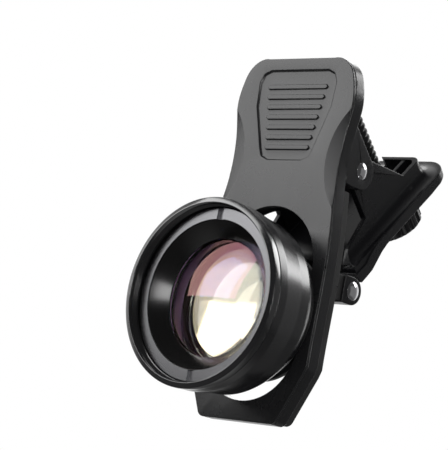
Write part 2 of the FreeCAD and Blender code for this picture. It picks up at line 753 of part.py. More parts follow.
def knob():
    """Return the thumb knob with its grip grooves and dished end."""
    rim = 0.5
    profile = [
        (0.0, KNOB_LOW),
        (KNOB_R - 1.4, KNOB_LOW),
        (KNOB_R - 0.4, KNOB_LOW + 0.4),
        (KNOB_R, KNOB_LOW + 1.0),
        (KNOB_R, KNOB_TOP - rim),
        (KNOB_R - rim, KNOB_TOP),
        (KNOB_R - 1.5, KNOB_TOP),
        (KNOB_R - 2.0, KNOB_TOP - 0.5),
        (0.0, KNOB_TOP - 0.5),
    ]
    points = [V(r, n, 0) for r, n in profile]
    body = Part.Face(Part.makePolygon(points + [points[0]])).revolve(V(0, 0, 0), V(0, 1, 0), 360)
    cuts = []
    for i in range(KNOB_GRIPS):
        angle = 2 * math.pi * (i + 0.5) / KNOB_GRIPS
        reach = KNOB_R + GRIP_R * 0.35
        centre = V(reach * math.cos(angle), KNOB_LOW - 1, reach * math.sin(angle))
        cuts.append(Part.makeCylinder(GRIP_R * 1.25, KNOB_TOP - KNOB_LOW + 2, centre, V(0, 1, 0)))
    body = body.cut(cuts)
    root = SCREW_R - THREAD_DEPTH
    body = body.cut(Part.makeCylinder(root, KNOB_TOP - 2.0 - KNOB_LOW, V(0, KNOB_LOW, 0), V(0, 1, 0)))
    body.translate(V(0, 0, SCREW_T))
    return on_arm(body)


def screw_tip():
    """Return the swivelling cap on the screw's end."""
    cap = Part.makeCylinder(TIP_R, TIP_H, V(0, TIP_END, SCREW_T), V(0, 1, 0))
    cap = cap.fuse(Part.makeCone(TIP_R - 0.5, TIP_R, 0.5, V(0, TIP_END - 0.5, SCREW_T), V(0, 1, 0)))
    socket = Part.makeCylinder(NECK_R + PIN_CLEAR, TIP_H, V(0, TIP_END + 0.85, SCREW_T), V(0, 1, 0))
    return on_arm(cap.cut(socket).removeSplitter())


# Jaw

def jaw_foot():
    """Return the swivelling foot that carries the jaw pad."""
    half = ARM_HALF_W
    channel = half - CHEEK_W
    low = JAW_PIN_Z - JAW_R
    high = JAW_PIN_Z + JAW_R
    front = JAW_PIN_Y - JAW_FRONT
    block = Part.makeBox(2 * half, JAW_FRONT, high - low, V(-half, front, low))
    knuckle = rod_x(JAW_R, JAW_PIN_Y, JAW_PIN_Z, -half, half)
    foot = block.fuse(knuckle)
    gap_r = TONGUE_R + JAW_CLEAR
    trough = rod_x(gap_r, JAW_PIN_Y, JAW_PIN_Z, -channel, channel)
    points = [
        (JAW_PIN_Y - gap_r, JAW_PIN_Z),
        (JAW_PIN_Y, JAW_PIN_Z - 0.7),
        (JAW_PIN_Y + JAW_R + 1, JAW_PIN_Z - 0.7),
        (JAW_PIN_Y + JAW_R + 1, high + 1),
        (JAW_PIN_Y - gap_r, high + 1),
    ]
    opening = prism_x(points, -channel, channel)
    foot = foot.cut([trough, opening])
    foot = foot.cut(rod_x(JAW_PIN_R + PIN_CLEAR, JAW_PIN_Y, JAW_PIN_Z, -half, half))
    return foot.removeSplitter()


def jaw_pin():
    """Return the pin that the foot swivels on."""
    return headed_pin(JAW_PIN_R, JAW_HEAD_R, JAW_HEAD_H, JAW_PIN_Y, JAW_PIN_Z, ARM_HALF_W + PIN_CLEAR)


def jaw_pad():
    """Return the soft pad, its face round about the jaw pin."""
    face_r = JAW_PIN_Y - JAW_PAD_GAP
    half = ARM_HALF_W - 0.5
    height = JAW_R - 0.25
    reach = math.degrees(math.asin(height / face_r))
    arc = arc_points(JAW_PIN_Y, JAW_PIN_Z, face_r, 180 - reach, 180 + reach, 6)
    front = JAW_PIN_Y - JAW_FRONT
    points = [(front, JAW_PIN_Z - height), (front, JAW_PIN_Z + height)] + arc
    return prism_x(points, -half, half)


# Lens and slide

def front_rim():
    """Return the outer front ring with its lip and filter thread wall."""
    skirt_low = RING_FACE_A - RING_T + 0.15
    return lens_part(
        [
            (FILTER_R, LIP_A - 0.35),
            (FILTER_R + 0.3, LIP_A),
            (LIP_R, LIP_A),
            (RIM_R, LIP_CHAMFER_A),
            (RIM_R, GROOVE_A + 0.1),
            (RIM_R - 0.4, GROOVE_A),
            (RIM_R - RIM_STEP, GROOVE_A),
            (RIM_R - RIM_STEP, skirt_low),
            (RELIEF_R, skirt_low),
            (RELIEF_R, RING_FACE_A),
            (FILTER_R, RING_FACE_A),
        ]
    )


def lens_barrel():
    """Return the main outer barrel."""
    skirt_low = RING_FACE_A - RING_T + 0.15
    top = GROOVE_A - LENS_CLEAR
    seat = FUNNEL_A - 0.6
    length = GROOVE_A - BARREL_BACK_A
    step_r = GLASS_R + LENS_CLEAR
    skirt_r = RIM_R - RIM_STEP + LENS_CLEAR
    return lens_part(
        [
            (skirt_r, top),
            (RIM_R - 0.4, top),
            (BARREL_FRONT_R, top - 0.18),
            (BARREL_FRONT_R, BARREL_BACK_A + length * 0.794),
            (BARREL_FRONT_R - 0.3, BARREL_BACK_A + length * 0.596),
            (BARREL_WAIST_R + 0.2, BARREL_BACK_A + length * 0.397),
            (BARREL_WAIST_R, BARREL_BACK_A + length * 0.217),
            (BARREL_BACK_R + 0.18, BARREL_BACK_A + length * 0.063),
            (BARREL_BACK_R, BARREL_BACK_A + 0.1),
            (BARREL_BACK_R - 0.15, BARREL_BACK_A),
            (BARREL_BORE_R, BARREL_BACK_A),
            (BARREL_BORE_R, SHELF_A - SHELF_T),
            (SHELF_R, SHELF_A - SHELF_T),
            (SHELF_R, SHELF_A),
            (step_r, SHELF_A),
            (step_r, seat),
            (SEAT_R, seat),
            (SEAT_R, skirt_low - LENS_CLEAR),
            (skirt_r, skirt_low - LENS_CLEAR),
        ]
    )


def retaining_ring(hole_r, outer_r, a_face, thick, notch_w, notch_depth, side):
    """Return a slotted retaining ring. side is 1 for a front face, -1 for a back face."""
    chamfer = 0.25
    ring = lens_part(
        [
            (hole_r, a_face),
            (outer_r - chamfer, a_face),
            (outer_r, a_face - side * chamfer),
            (outer_r, a_face - side * thick),
            (hole_r, a_face - side * thick),
        ]
    )
    y_face = from_plate(a_face)
    y_low = min(y_face - side, y_face + side * notch_depth)
    y_high = max(y_face - side, y_face + side * notch_depth)
    slot = Part.makeBox(notch_w, y_high - y_low, 4 * outer_r, V(-notch_w / 2, y_low, -2 * outer_r))
    return ring.cut(slot)


def front_retaining_ring():
    """Return the ring that holds the front glass and funnel."""
    outer = FILTER_R - LENS_CLEAR
    return retaining_ring(RING_HOLE_R, outer, RING_FACE_A, RING_T, NOTCH_W, NOTCH_DEPTH, 1)


def funnel_baffle():
    """Return the black funnel in front of the glass."""
    ring_low = RING_FACE_A - RING_T - LENS_CLEAR
    nose_r = RING_HOLE_R - LENS_CLEAR
    low = FUNNEL_A - FUNNEL_LIP
    return lens_part(
        [
            (nose_r, RING_FACE_A - 0.1),
            (FUNNEL_R, FUNNEL_A),
            (FUNNEL_R, low),
            (SEAT_R - LENS_CLEAR, low),
            (SEAT_R - LENS_CLEAR, ring_low),
            (nose_r, ring_low),
        ]
    )


def curved_glass(radius, apex_a, curve_r, back_profile):
    """Return a glass with a domed front and the given back, as (r, a) points."""
    centre = apex_a - curve_r
    edge_a = centre + math.sqrt(curve_r ** 2 - radius ** 2)
    mid_r = radius * 0.5
    mid_a = centre + math.sqrt(curve_r ** 2 - mid_r ** 2)
    dome = Part.Arc(
        V(0, from_plate(apex_a), 0),
        V(mid_r, from_plate(mid_a), 0),
        V(radius, from_plate(edge_a), 0),
    ).toShape()
    points = [V(radius, from_plate(edge_a), 0)]
    points += [V(r, from_plate(a), 0) for r, a in back_profile]
    edges = [dome]
    for i in range(len(points) - 1):
        edges.append(Part.makeLine(points[i], points[i + 1]))
    edges.append(Part.makeLine(points[-1], V(0, from_plate(apex_a), 0)))
    return face_of(edges).revolve(V(0, 0, 0), V(0, 1, 0), 360)


def front_glass():
    """Return the front glass, domed ahead and hollow behind."""
    shelf = SHELF_A + LENS_CLEAR
    hollow_r = GLASS_R * 0.566
    hollow_depth = (GLASS_APEX_A - SHELF_A) * 0.518
    back = [
        (GLASS_R, shelf),
        (hollow_r, shelf),
        (hollow_r * 0.8, shelf + hollow_depth * 0.42),
        (hollow_r * 0.5, shelf + hollow_depth * 0.78),
        (hollow_r * 0.25, shelf + hollow_depth * 0.95),
        (0.0, shelf + hollow_depth),
    ]
    return curved_glass(GLASS_R, GLASS_APEX_A, GLASS_CURVE_R, back)


def spacer_ring():
    """Return the ring between the front and middle glasses."""
    low = COLLAR_A + LENS_CLEAR
    high = SHELF_A - SHELF_T - LENS_CLEAR
    inner = MOUTH_R + LENS_CLEAR
    outer = BARREL_BORE_R - LENS_CLEAR
    return lens_part([(inner, high), (outer, high), (outer, low), (inner, low)])


def lens_base():
    """Return the conical base with its threaded tail."""
    front = BARREL_BACK_A - LENS_CLEAR
    rear = FLANGE_A + LENS_CLEAR
    tail_r = HUB_BORE_R - LENS_CLEAR
    skirt_r = BARREL_BORE_R - LENS_CLEAR
    flare = BARREL_BACK_R - SHOULDER_R
    height = front - rear
    return lens_part(
        [
            (skirt_r, front),
            (BARREL_BACK_R - 0.15, front),
            (BARREL_BACK_R - 0.05, front - 0.12),
            (SHOULDER_R + flare * 0.75, rear + height * 0.693),
            (SHOULDER_R + flare * 0.327, rear + height * 0.307),
            (SHOULDER_R, rear),
            (tail_r, rear),
            (tail_r, -TAIL_LEN + 0.4),
            (tail_r - 0.4, -TAIL_LEN),
            (TAIL_BORE_R, -TAIL_LEN),
            (TAIL_BORE_R, -TAIL_LEN * 0.1),
            (TAIL_BORE_R * 0.868, -TAIL_LEN * 0.1),
            (TAIL_BORE_R * 0.868, TAIL_LEN * 0.08),
            (THROAT_R, BARREL_BACK_A * 0.893),
            (THROAT_R, BARREL_BACK_A),
            (MOUTH_R, BARREL_BACK_A),
            (MOUTH_R, COLLAR_A),
            (skirt_r, COLLAR_A),
        ]
    )


def middle_glass():
    """Return the glass in the base's mouth."""
    seat = BARREL_BACK_A + LENS_CLEAR
    radius = MOUTH_R - LENS_CLEAR
    apex = SHELF_A - SHELF_T + 0.15
    return curved_glass(radius, apex, radius * 3.04, [(radius, seat), (0.0, seat)])


def rear_glass():
    """Return the small glass in the tail."""
    radius = TAIL_BORE_R - LENS_CLEAR
    low = -TAIL_LEN * 0.48
    back = [(radius, low), (0.0, low - TAIL_LEN * 0.12)]
    return curved_glass(radius, TAIL_LEN * 0.11, TAIL_BORE_R * 2.632, back)


def rear_retaining_ring():
    """Return the ring that holds the rear glass."""
    outer = TAIL_BORE_R - LENS_CLEAR
    hole = TAIL_BORE_R * 0.77
    face = -TAIL_LEN * 0.78
    return retaining_ring(hole, outer, face, TAIL_LEN * 0.27, NOTCH_W * 0.7, NOTCH_DEPTH * 0.7, -1)


def slide_ring():
    """Return the flanged hub that runs in the slot."""
    hub_r = SLOT_HALF_W - SLIDE_CLEAR
    plate_back = -PLATE_T
    end = plate_back - LENS_CLEAR - NUT_T
    return lens_part(
        [
            (HUB_BORE_R, FLANGE_A),
            (SHOULDER_R - 0.35, FLANGE_A),
            (SHOULDER_R - 0.35, WASHER_T + 0.04),
            (hub_r, WASHER_T + 0.04),
            (hub_r, plate_back + 0.1),
            (HUB_STEP_R, plate_back + 0.1),
            (HUB_STEP_R, end),
            (HUB_BORE_R, end),
        ]
    )


def friction_washer():
    """Return the thin washer under the hub's flange."""
    inner = SLOT_HALF_W - SLIDE_CLEAR + LENS_CLEAR
    return lens_part([(inner, WASHER_T + 0.02), (WASHER_R, WASHER_T + 0.02), (WASHER_R, 0.02), (inner, 0.02)])


def slide_nut():
    """Return the slotted nut behind the plate."""
    face = -PLATE_T - LENS_CLEAR - NUT_T
    return retaining_ring(HUB_STEP_R + LENS_CLEAR, NUT_R, face, NUT_T, NOTCH_W, NOTCH_DEPTH * 0.7, -1)


NODES = {
    "front_arm": front_arm,
    "face_cover": face_cover,
    "front_pad": front_pad,
    "pivot_pin": pivot_pin,
    "torsion_spring": torsion_spring,
    "rear_arm": rear_arm,
    "spring_leg": spring_leg,
    "screw_insert": screw_insert,
    "jaw_pin": jaw_pin,
    "jaw_foot": jaw_foot,
    "jaw_pad": jaw_pad,
    "clamp_screw": clamp_screw,
    "knob": knob,
    "screw_tip": screw_tip,
    "slide_ring": slide_ring,
    "friction_washer": friction_washer,
    "slide_nut": slide_nut,
    "lens_base": lens_base,
    "lens_barrel": lens_barrel,
    "front_rim": front_rim,
    "front_retaining_ring": front_retaining_ring,
    "funnel_baffle": funnel_baffle,
    "front_glass": front_glass,
    "spacer_ring": spacer_ring,
    "middle_glass": middle_glass,
    "rear_glass": rear_glass,
    "rear_retaining_ring": rear_retaining_ring,
}


def main():
    """Write each node as a file of its own."""
    os.makedirs("parts", exist_ok=True)
    for name, build in NODES.items():
        shape = build()
        shape.exportStep("parts/" + name + ".step")
        box = shape.BoundBox
        print(name, len(shape.Solids), shape.isValid(), round(shape.Volume, 1), len(shape.Faces), end=" ")
        print([round(v, 2) for v in (box.XMin, box.XMax, box.YMin, box.YMax, box.ZMin, box.ZMax)])


main()
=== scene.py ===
"""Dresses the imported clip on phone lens: finishes, smooth turned rings, studio and camera."""
import json
import logging
import math
from dataclasses import dataclass, field
from enum import Enum
from typing import Any, ClassVar, Dict, List, Optional, Sequence, Tuple

import bmesh
import bpy
from mathutils import Matrix, Vector


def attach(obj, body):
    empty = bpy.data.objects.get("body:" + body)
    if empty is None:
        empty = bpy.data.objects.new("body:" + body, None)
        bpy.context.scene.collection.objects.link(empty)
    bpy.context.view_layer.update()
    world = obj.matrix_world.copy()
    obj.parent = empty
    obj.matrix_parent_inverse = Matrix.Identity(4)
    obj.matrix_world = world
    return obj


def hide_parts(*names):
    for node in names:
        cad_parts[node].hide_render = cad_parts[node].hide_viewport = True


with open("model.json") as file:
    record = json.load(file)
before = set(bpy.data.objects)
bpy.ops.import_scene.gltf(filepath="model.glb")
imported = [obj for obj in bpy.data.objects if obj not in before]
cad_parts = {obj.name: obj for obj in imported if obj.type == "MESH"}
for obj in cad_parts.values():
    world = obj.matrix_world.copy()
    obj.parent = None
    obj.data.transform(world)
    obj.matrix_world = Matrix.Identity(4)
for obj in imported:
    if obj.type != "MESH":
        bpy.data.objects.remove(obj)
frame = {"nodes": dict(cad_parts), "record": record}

LOG = logging.getLogger("clip_lens")
MM = 0.001
PLATE_FRONT_Y = -6.0
WHITE = (1.0, 1.0, 1.0, 1.0)
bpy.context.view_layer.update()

Color = Tuple[float, float, float]
Place = Tuple[float, float, float]
Point = Tuple[float, float]
Corner = Tuple[float, float, float]
Window = Tuple[float, float, float, float]


class Surface(Enum):
    """The named finishes of the object."""

    PLATE = "plate_black"
    COVER = "cover_black"
    ARM = "arm_black"
    RUBBER = "pad_rubber"
    CHROME = "pin_chrome"
    STEEL = "spring_steel"
    BUSH = "bush_black"
    SCREW = "screw_black"
    KNOB = "knob_black"
    SLIDE = "slide_black"
    BARREL = "barrel_black"
    RIM = "rim_black"
    RING = "ring_black"
    FUNNEL = "funnel_black"
    COATED = "coated_glass"
    INNER_GLASS = "inner_glass"
    INNER = "inner_black"
    # A matte violet ring: a painted reflection of the lens coating.
    PAINTED_SHELF_REFLECTION = "painted_violet_reflection"
    MIRROR = "mirror_coat"


# Node groups


class Graph:
    """Adds nodes to one shader tree and links them."""

    def __init__(self, tree: bpy.types.NodeTree) -> None:
        """Hold the tree."""
        self.tree = tree

    def add(self, kind: str, sockets: Optional[Dict[Any, Any]] = None, **settings: Any) -> bpy.types.Node:
        """Add a node, set its properties and fill its inputs.

        Args:
            kind: Type of the node, without the leading ShaderNode.
            sockets: For an input's name or number, a value or the output to link to it.
            settings: Properties of the node.

        Returns:
            The node.
        """
        node = self.tree.nodes.new("ShaderNode" + kind)
        for name, value in settings.items():
            setattr(node, name, value)
        for key, value in (sockets or {}).items():
            self.give(node.inputs[key], value)
        return node

    def give(self, socket: bpy.types.NodeSocket, value: Any) -> None:
        """Link an output to an input, or set the input's value.

        Args:
            socket: The input.
            value: The output, number or colour that it gets.
        """
        if isinstance(value, bpy.types.NodeSocket):
            self.tree.links.new(value, socket)
        else:
            socket.default_value = value

    def calculate(self, operation: str, *values: Any) -> bpy.types.NodeSocket:
        """Add a Math node.

        Args:
            operation: Its operation.
            values: Its inputs in order.

        Returns:
            The result.
        """
        return self.add("Math", dict(enumerate(values)), operation=operation).outputs[0]

    def blend(self, share: bpy.types.NodeSocket, first: Any, second: Any) -> bpy.types.NodeSocket:
        """Blend two colours.

        Args:
            share: How much of the second colour is seen.
            first: The colour at 0.
            second: The colour at 1.

        Returns:
            The blended colour.
        """
        parts = {"Factor": share, "A": first, "B": second}
        return self.add("Mix", parts, data_type="RGBA").outputs["Result"]

    def fade(
        self,
        value: bpy.types.NodeSocket,
        start: float,
        end: float,
        at_start: float = 0.0,
        at_end: float = 1.0,
    ) -> bpy.types.NodeSocket:
        """Fade softly from one number to another over a range.

        Args:
            value: What the fade depends on.
            start: Where the range starts.
            end: Where it ends.
            at_start: The number up to its start.
            at_end: The number from its end on.

        Returns:
            The faded number.
        """
        ends = {"Value": value, "From Min": start, "From Max": end, "To Min": at_start, "To Max": at_end}
        return self.add("MapRange", ends, interpolation_type="SMOOTHSTEP").outputs["Result"]


class SharedGroup:
    """A shader node group that is built once and placed in each material that needs it."""

    NUMBER = "NodeSocketFloat"
    COLOR = "NodeSocketColor"
    NAME = ""
    INPUTS: Dict[str, str] = {}
    OUTPUTS: Dict[str, str] = {}

    @classmethod
    def get(cls) -> bpy.types.NodeTree:
        """Build the group once and return it.

        Returns:
            The shader node tree of the group.
        """
        made = bpy.data.node_groups.get(cls.NAME)
        if made:
            return made
        tree = bpy.data.node_groups.new(cls.NAME, "ShaderNodeTree")
        for way, sockets in (("INPUT", cls.INPUTS), ("OUTPUT", cls.OUTPUTS)):
            for name, kind in sockets.items():
                tree.interface.new_socket(name, in_out=way, socket_type=kind)
        given = tree.nodes.new("NodeGroupInput").outputs
        out = tree.nodes.new("NodeGroupOutput")
        for name, result in cls.fill(Graph(tree), given).items():
            tree.links.new(result, out.inputs[name])
        return tree

    @classmethod
    def fill(cls, graph: Graph, given: Any) -> Dict[str, bpy.types.NodeSocket]:
        """Make the group's nodes.

        Args:
            graph: The group's tree.
            given: The group's inputs by name.

        Returns:
            The result for each output.
        """
        raise NotImplementedError


class GrainGroup(SharedGroup):
    """Fine moulded grain: a height, a cloudy roughness and a cloudy colour."""

    NAME = "moulded_grain"
    INPUTS = {
        "Scale": SharedGroup.NUMBER,
        "Base": SharedGroup.COLOR,
        "Tint": SharedGroup.COLOR,
        "Rough": SharedGroup.NUMBER,
        "Spread": SharedGroup.NUMBER,
    }
    OUTPUTS = {"Color": SharedGroup.COLOR, "Roughness": SharedGroup.NUMBER, "Height": SharedGroup.NUMBER}
    GRAIN = {"Detail": 3.0, "Roughness": 0.6}
    CLOUD = {"Scale": 120.0, "Detail": 4.0}
    CLOUD_MIDDLE = 0.5

    @classmethod
    def fill(cls, graph: Graph, given: Any) -> Dict[str, bpy.types.NodeSocket]:
        """Make the grain and the clouds.

        Args:
            graph: The group's tree.
            given: The group's inputs by name.

        Returns:
            The result for each output.
        """
        place = graph.add("TexCoord").outputs["Object"]
        grain = graph.add("TexNoise", {"Vector": place, "Scale": given["Scale"], **cls.GRAIN})
        cloud = graph.add("TexNoise", {"Vector": place, **cls.CLOUD}).outputs["Fac"]
        centred = graph.calculate("SUBTRACT", cloud, cls.CLOUD_MIDDLE)
        return {
            "Color": graph.blend(cloud, given["Base"], given["Tint"]),
            "Roughness": graph.calculate("MULTIPLY_ADD", centred, given["Spread"], given["Rough"]),
            "Height": grain.outputs["Fac"],
        }


class EdgeHighlightGroup(SharedGroup):
    """A painted highlight: a lighter colour on sharp outward edges, standing in for the light that bevels
    catch.
    """

    NAME = "painted_edge_highlight"
    INPUTS = {"Color": SharedGroup.COLOR, "Edge": SharedGroup.COLOR, "Amount": SharedGroup.NUMBER}
    OUTPUTS = {"Color": SharedGroup.COLOR}
    SHARPNESS = {"From Min": 0.52, "From Max": 0.62}
    PATCH_SCALE = 900.0

    @classmethod
    def fill(cls, graph: Graph, given: Any) -> Dict[str, bpy.types.NodeSocket]:
        """Make the mask of the edges and blend the lighter colour in as a painted highlight.

        Args:
            graph: The group's tree.
            given: The group's inputs by name.

        Returns:
            The result for each output.
        """
        place = graph.add("TexCoord").outputs["Object"]
        patches = graph.add("TexNoise", {"Vector": place, "Scale": cls.PATCH_SCALE}).outputs["Fac"]
        point = graph.add("NewGeometry").outputs["Pointiness"]
        sharp = graph.add("MapRange", {"Value": point, **cls.SHARPNESS}).outputs["Result"]
        share = graph.calculate("MULTIPLY", graph.calculate("MULTIPLY", sharp, patches), given["Amount"])
        return {"Color": graph.blend(share, given["Color"], given["Edge"])}


# Finishes


@dataclass(frozen=True)
class BaseFinish:
    """What every finish has: a name, a colour and a material that is built once."""

    surface: Surface
    color: Color

    def material(self) -> bpy.types.Material:
        """Build the finish's material once and return it.

        Returns:
            The material.
        """
        name = "finish_" + self.surface.value
        made = bpy.data.materials.get(name)
        if made:
            return made
        mat = bpy.data.materials.new(name)
        mat.use_nodes = True
        self.fill(Graph(mat.node_tree), mat.node_tree.nodes["Principled BSDF"].inputs)
        return mat

    def fill(self, graph: Graph, shader: Any) -> None:
        """Set the shader and add the nodes that feed it.

        Args:
            graph: The material's tree.
            shader: The shader's inputs by name.
        """
        raise NotImplementedError


@dataclass(frozen=True)
class Finish(BaseFinish):
    """An opaque finish, such as plastic, rubber or metal; depths are in mm."""

    tint: Color
    roughness: float
    metallic: float = 0.0
    specular: float = 0.5
    spread: float = 0.06
    grain_scale: float = 9000.0
    grain_depth: float = 0.002
    grain_strength: float = 0.35
    coat: float = 0.0
    coat_roughness: float = 0.1
    # Colour of the painted highlight on sharp edges, where the finish has one.
    edge: Optional[Color] = None
    edge_highlight_amount: float = 0.3
    alpha: float = 1.0

    def fill(self, graph: Graph, shader: Any) -> None:
        """Set the shader, the grain and, where the finish has one, the painted edge highlight.

        Args:
            graph: The material's tree.
            shader: The shader's inputs by name.
        """
        shader["Metallic"].default_value = self.metallic
        shader["Specular IOR Level"].default_value = self.specular
        shader["Alpha"].default_value = self.alpha
        shader["Coat Weight"].default_value = self.coat
        shader["Coat Roughness"].default_value = self.coat_roughness
        look = {
            "Scale": self.grain_scale,
            "Base": (*self.color, 1.0),
            "Tint": (*self.tint, 1.0),
            "Rough": self.roughness,
            "Spread": self.spread,
        }
        grain = graph.add("Group", look, node_tree=GrainGroup.get())
        color = grain.outputs["Color"]
        # Painted highlight: a lighter colour blended onto sharp edges.
        if self.edge:
            look = {"Color": color, "Edge": (*self.edge, 1.0), "Amount": self.edge_highlight_amount}
            color = graph.add("Group", look, node_tree=EdgeHighlightGroup.get()).outputs["Color"]
        bump = {
            "Strength": self.grain_strength,
            "Distance": self.grain_depth * MM,
            "Height": grain.outputs["Height"],
        }
        graph.give(shader["Base Color"], color)
        graph.give(shader["Roughness"], grain.outputs["Roughness"])
        graph.give(shader["Normal"], graph.add("Bump", bump).outputs["Normal"])


@dataclass(frozen=True)
class GlassFinish(BaseFinish):
    """Optical glass, with a thin coating where film_nm is above 0."""

    film_nm: float = 0.0
    film_ior: float = 1.85
    ior: float = 1.52
    sheen: Color = (1.0, 1.0, 1.0)
    roughness: float = 0.015
    tint_scale: float = 60.0
    tint_gain: float = 1.06

    def fill(self, graph: Graph, shader: Any) -> None:
        """Set the shader and its faintly uneven tint.

        Args:
            graph: The material's tree.
            shader: The shader's inputs by name.
        """
        shader["Transmission Weight"].default_value = 1.0
        shader["Metallic"].default_value = 0.0
        shader["IOR"].default_value = self.ior
        shader["Specular Tint"].default_value = (*self.sheen, 1.0)
        shader["Roughness"].default_value = self.roughness
        shader["Thin Film Thickness"].default_value = self.film_nm
        shader["Thin Film IOR"].default_value = self.film_ior
        place = graph.add("TexCoord").outputs["Object"]
        share = graph.add("TexNoise", {"Vector": place, "Scale": self.tint_scale}).outputs["Fac"]
        clearer = (*(min(1.0, part * self.tint_gain) for part in self.color), 1.0)
        graph.give(shader["Base Color"], graph.blend(share, (*self.color, 1.0), clearer))


ALL_FINISHES: Tuple[BaseFinish, ...] = (
    # The edge colours of the plate, cover and arm are painted highlights on their sharp edges.
    Finish(
        Surface.PLATE, (0.010, 0.010, 0.011), (0.014, 0.014, 0.015), 0.25,
        specular=0.48, edge=(0.05, 0.05, 0.052),
    ),
    Finish(
        Surface.COVER, (0.012, 0.012, 0.013), (0.016, 0.016, 0.017), 0.27,
        specular=0.46, edge=(0.06, 0.06, 0.062),
    ),
    Finish(
        Surface.ARM, (0.004, 0.004, 0.005), (0.006, 0.006, 0.007), 0.28,
        specular=0.28, edge=(0.10, 0.10, 0.102),
    ),
    Finish(Surface.RUBBER, (0.016, 0.016, 0.016), (0.024, 0.024, 0.024), 0.72, grain_depth=0.02),
    Finish(Surface.CHROME, (0.78, 0.78, 0.80), (0.84, 0.84, 0.86), 0.12, metallic=1.0, spread=0.04),
    Finish(Surface.STEEL, (0.48, 0.48, 0.50), (0.60, 0.60, 0.61), 0.28, metallic=1.0),
    Finish(Surface.BUSH, (0.05, 0.05, 0.052), (0.08, 0.08, 0.082), 0.35, metallic=1.0),
    Finish(Surface.SCREW, (0.004, 0.004, 0.004), (0.007, 0.007, 0.007), 0.30),
    Finish(Surface.KNOB, (0.004, 0.004, 0.005), (0.007, 0.007, 0.008), 0.24),
    Finish(Surface.SLIDE, (0.016, 0.016, 0.017), (0.022, 0.022, 0.023), 0.34, specular=0.8),
    Finish(
        Surface.BARREL, (0.006, 0.006, 0.007), (0.009, 0.009, 0.010), 0.22,
        specular=0.9, spread=0.03,
    ),
    Finish(
        Surface.RIM, (0.006, 0.006, 0.007), (0.009, 0.009, 0.010), 0.17,
        specular=1.0, spread=0.03, coat=0.5,
    ),
    Finish(
        Surface.RING, (0.12, 0.12, 0.125), (0.15, 0.15, 0.155), 0.26,
        metallic=1.0, grain_depth=0.006,
    ),
    Finish(Surface.FUNNEL, (0.003, 0.003, 0.003), (0.005, 0.005, 0.005), 0.20, specular=0.45),
    GlassFinish(Surface.COATED, (1.0, 0.965, 0.94), 308.0, 1.72, sheen=(0.44, 0.36, 0.50)),
    GlassFinish(Surface.INNER_GLASS, (1.0, 0.97, 0.92), ior=1.6),
    # Painted reflection: a matte violet colour standing in for the coating's violet reflection on the shelf.
    Finish(Surface.PAINTED_SHELF_REFLECTION, (0.80, 0.50, 0.90), (0.84, 0.55, 0.92), 0.45),
    Finish(
        Surface.MIRROR, (0.95, 0.86, 0.70), (0.97, 0.90, 0.78), 0.10,
        metallic=1.0, spread=0.02, alpha=0.42,
    ),
    Finish(Surface.INNER, (0.010, 0.010, 0.010), (0.014, 0.014, 0.014), 0.5),
)
FINISHES: Dict[Surface, BaseFinish] = {finish.surface: finish for finish in ALL_FINISHES}


# Mesh making


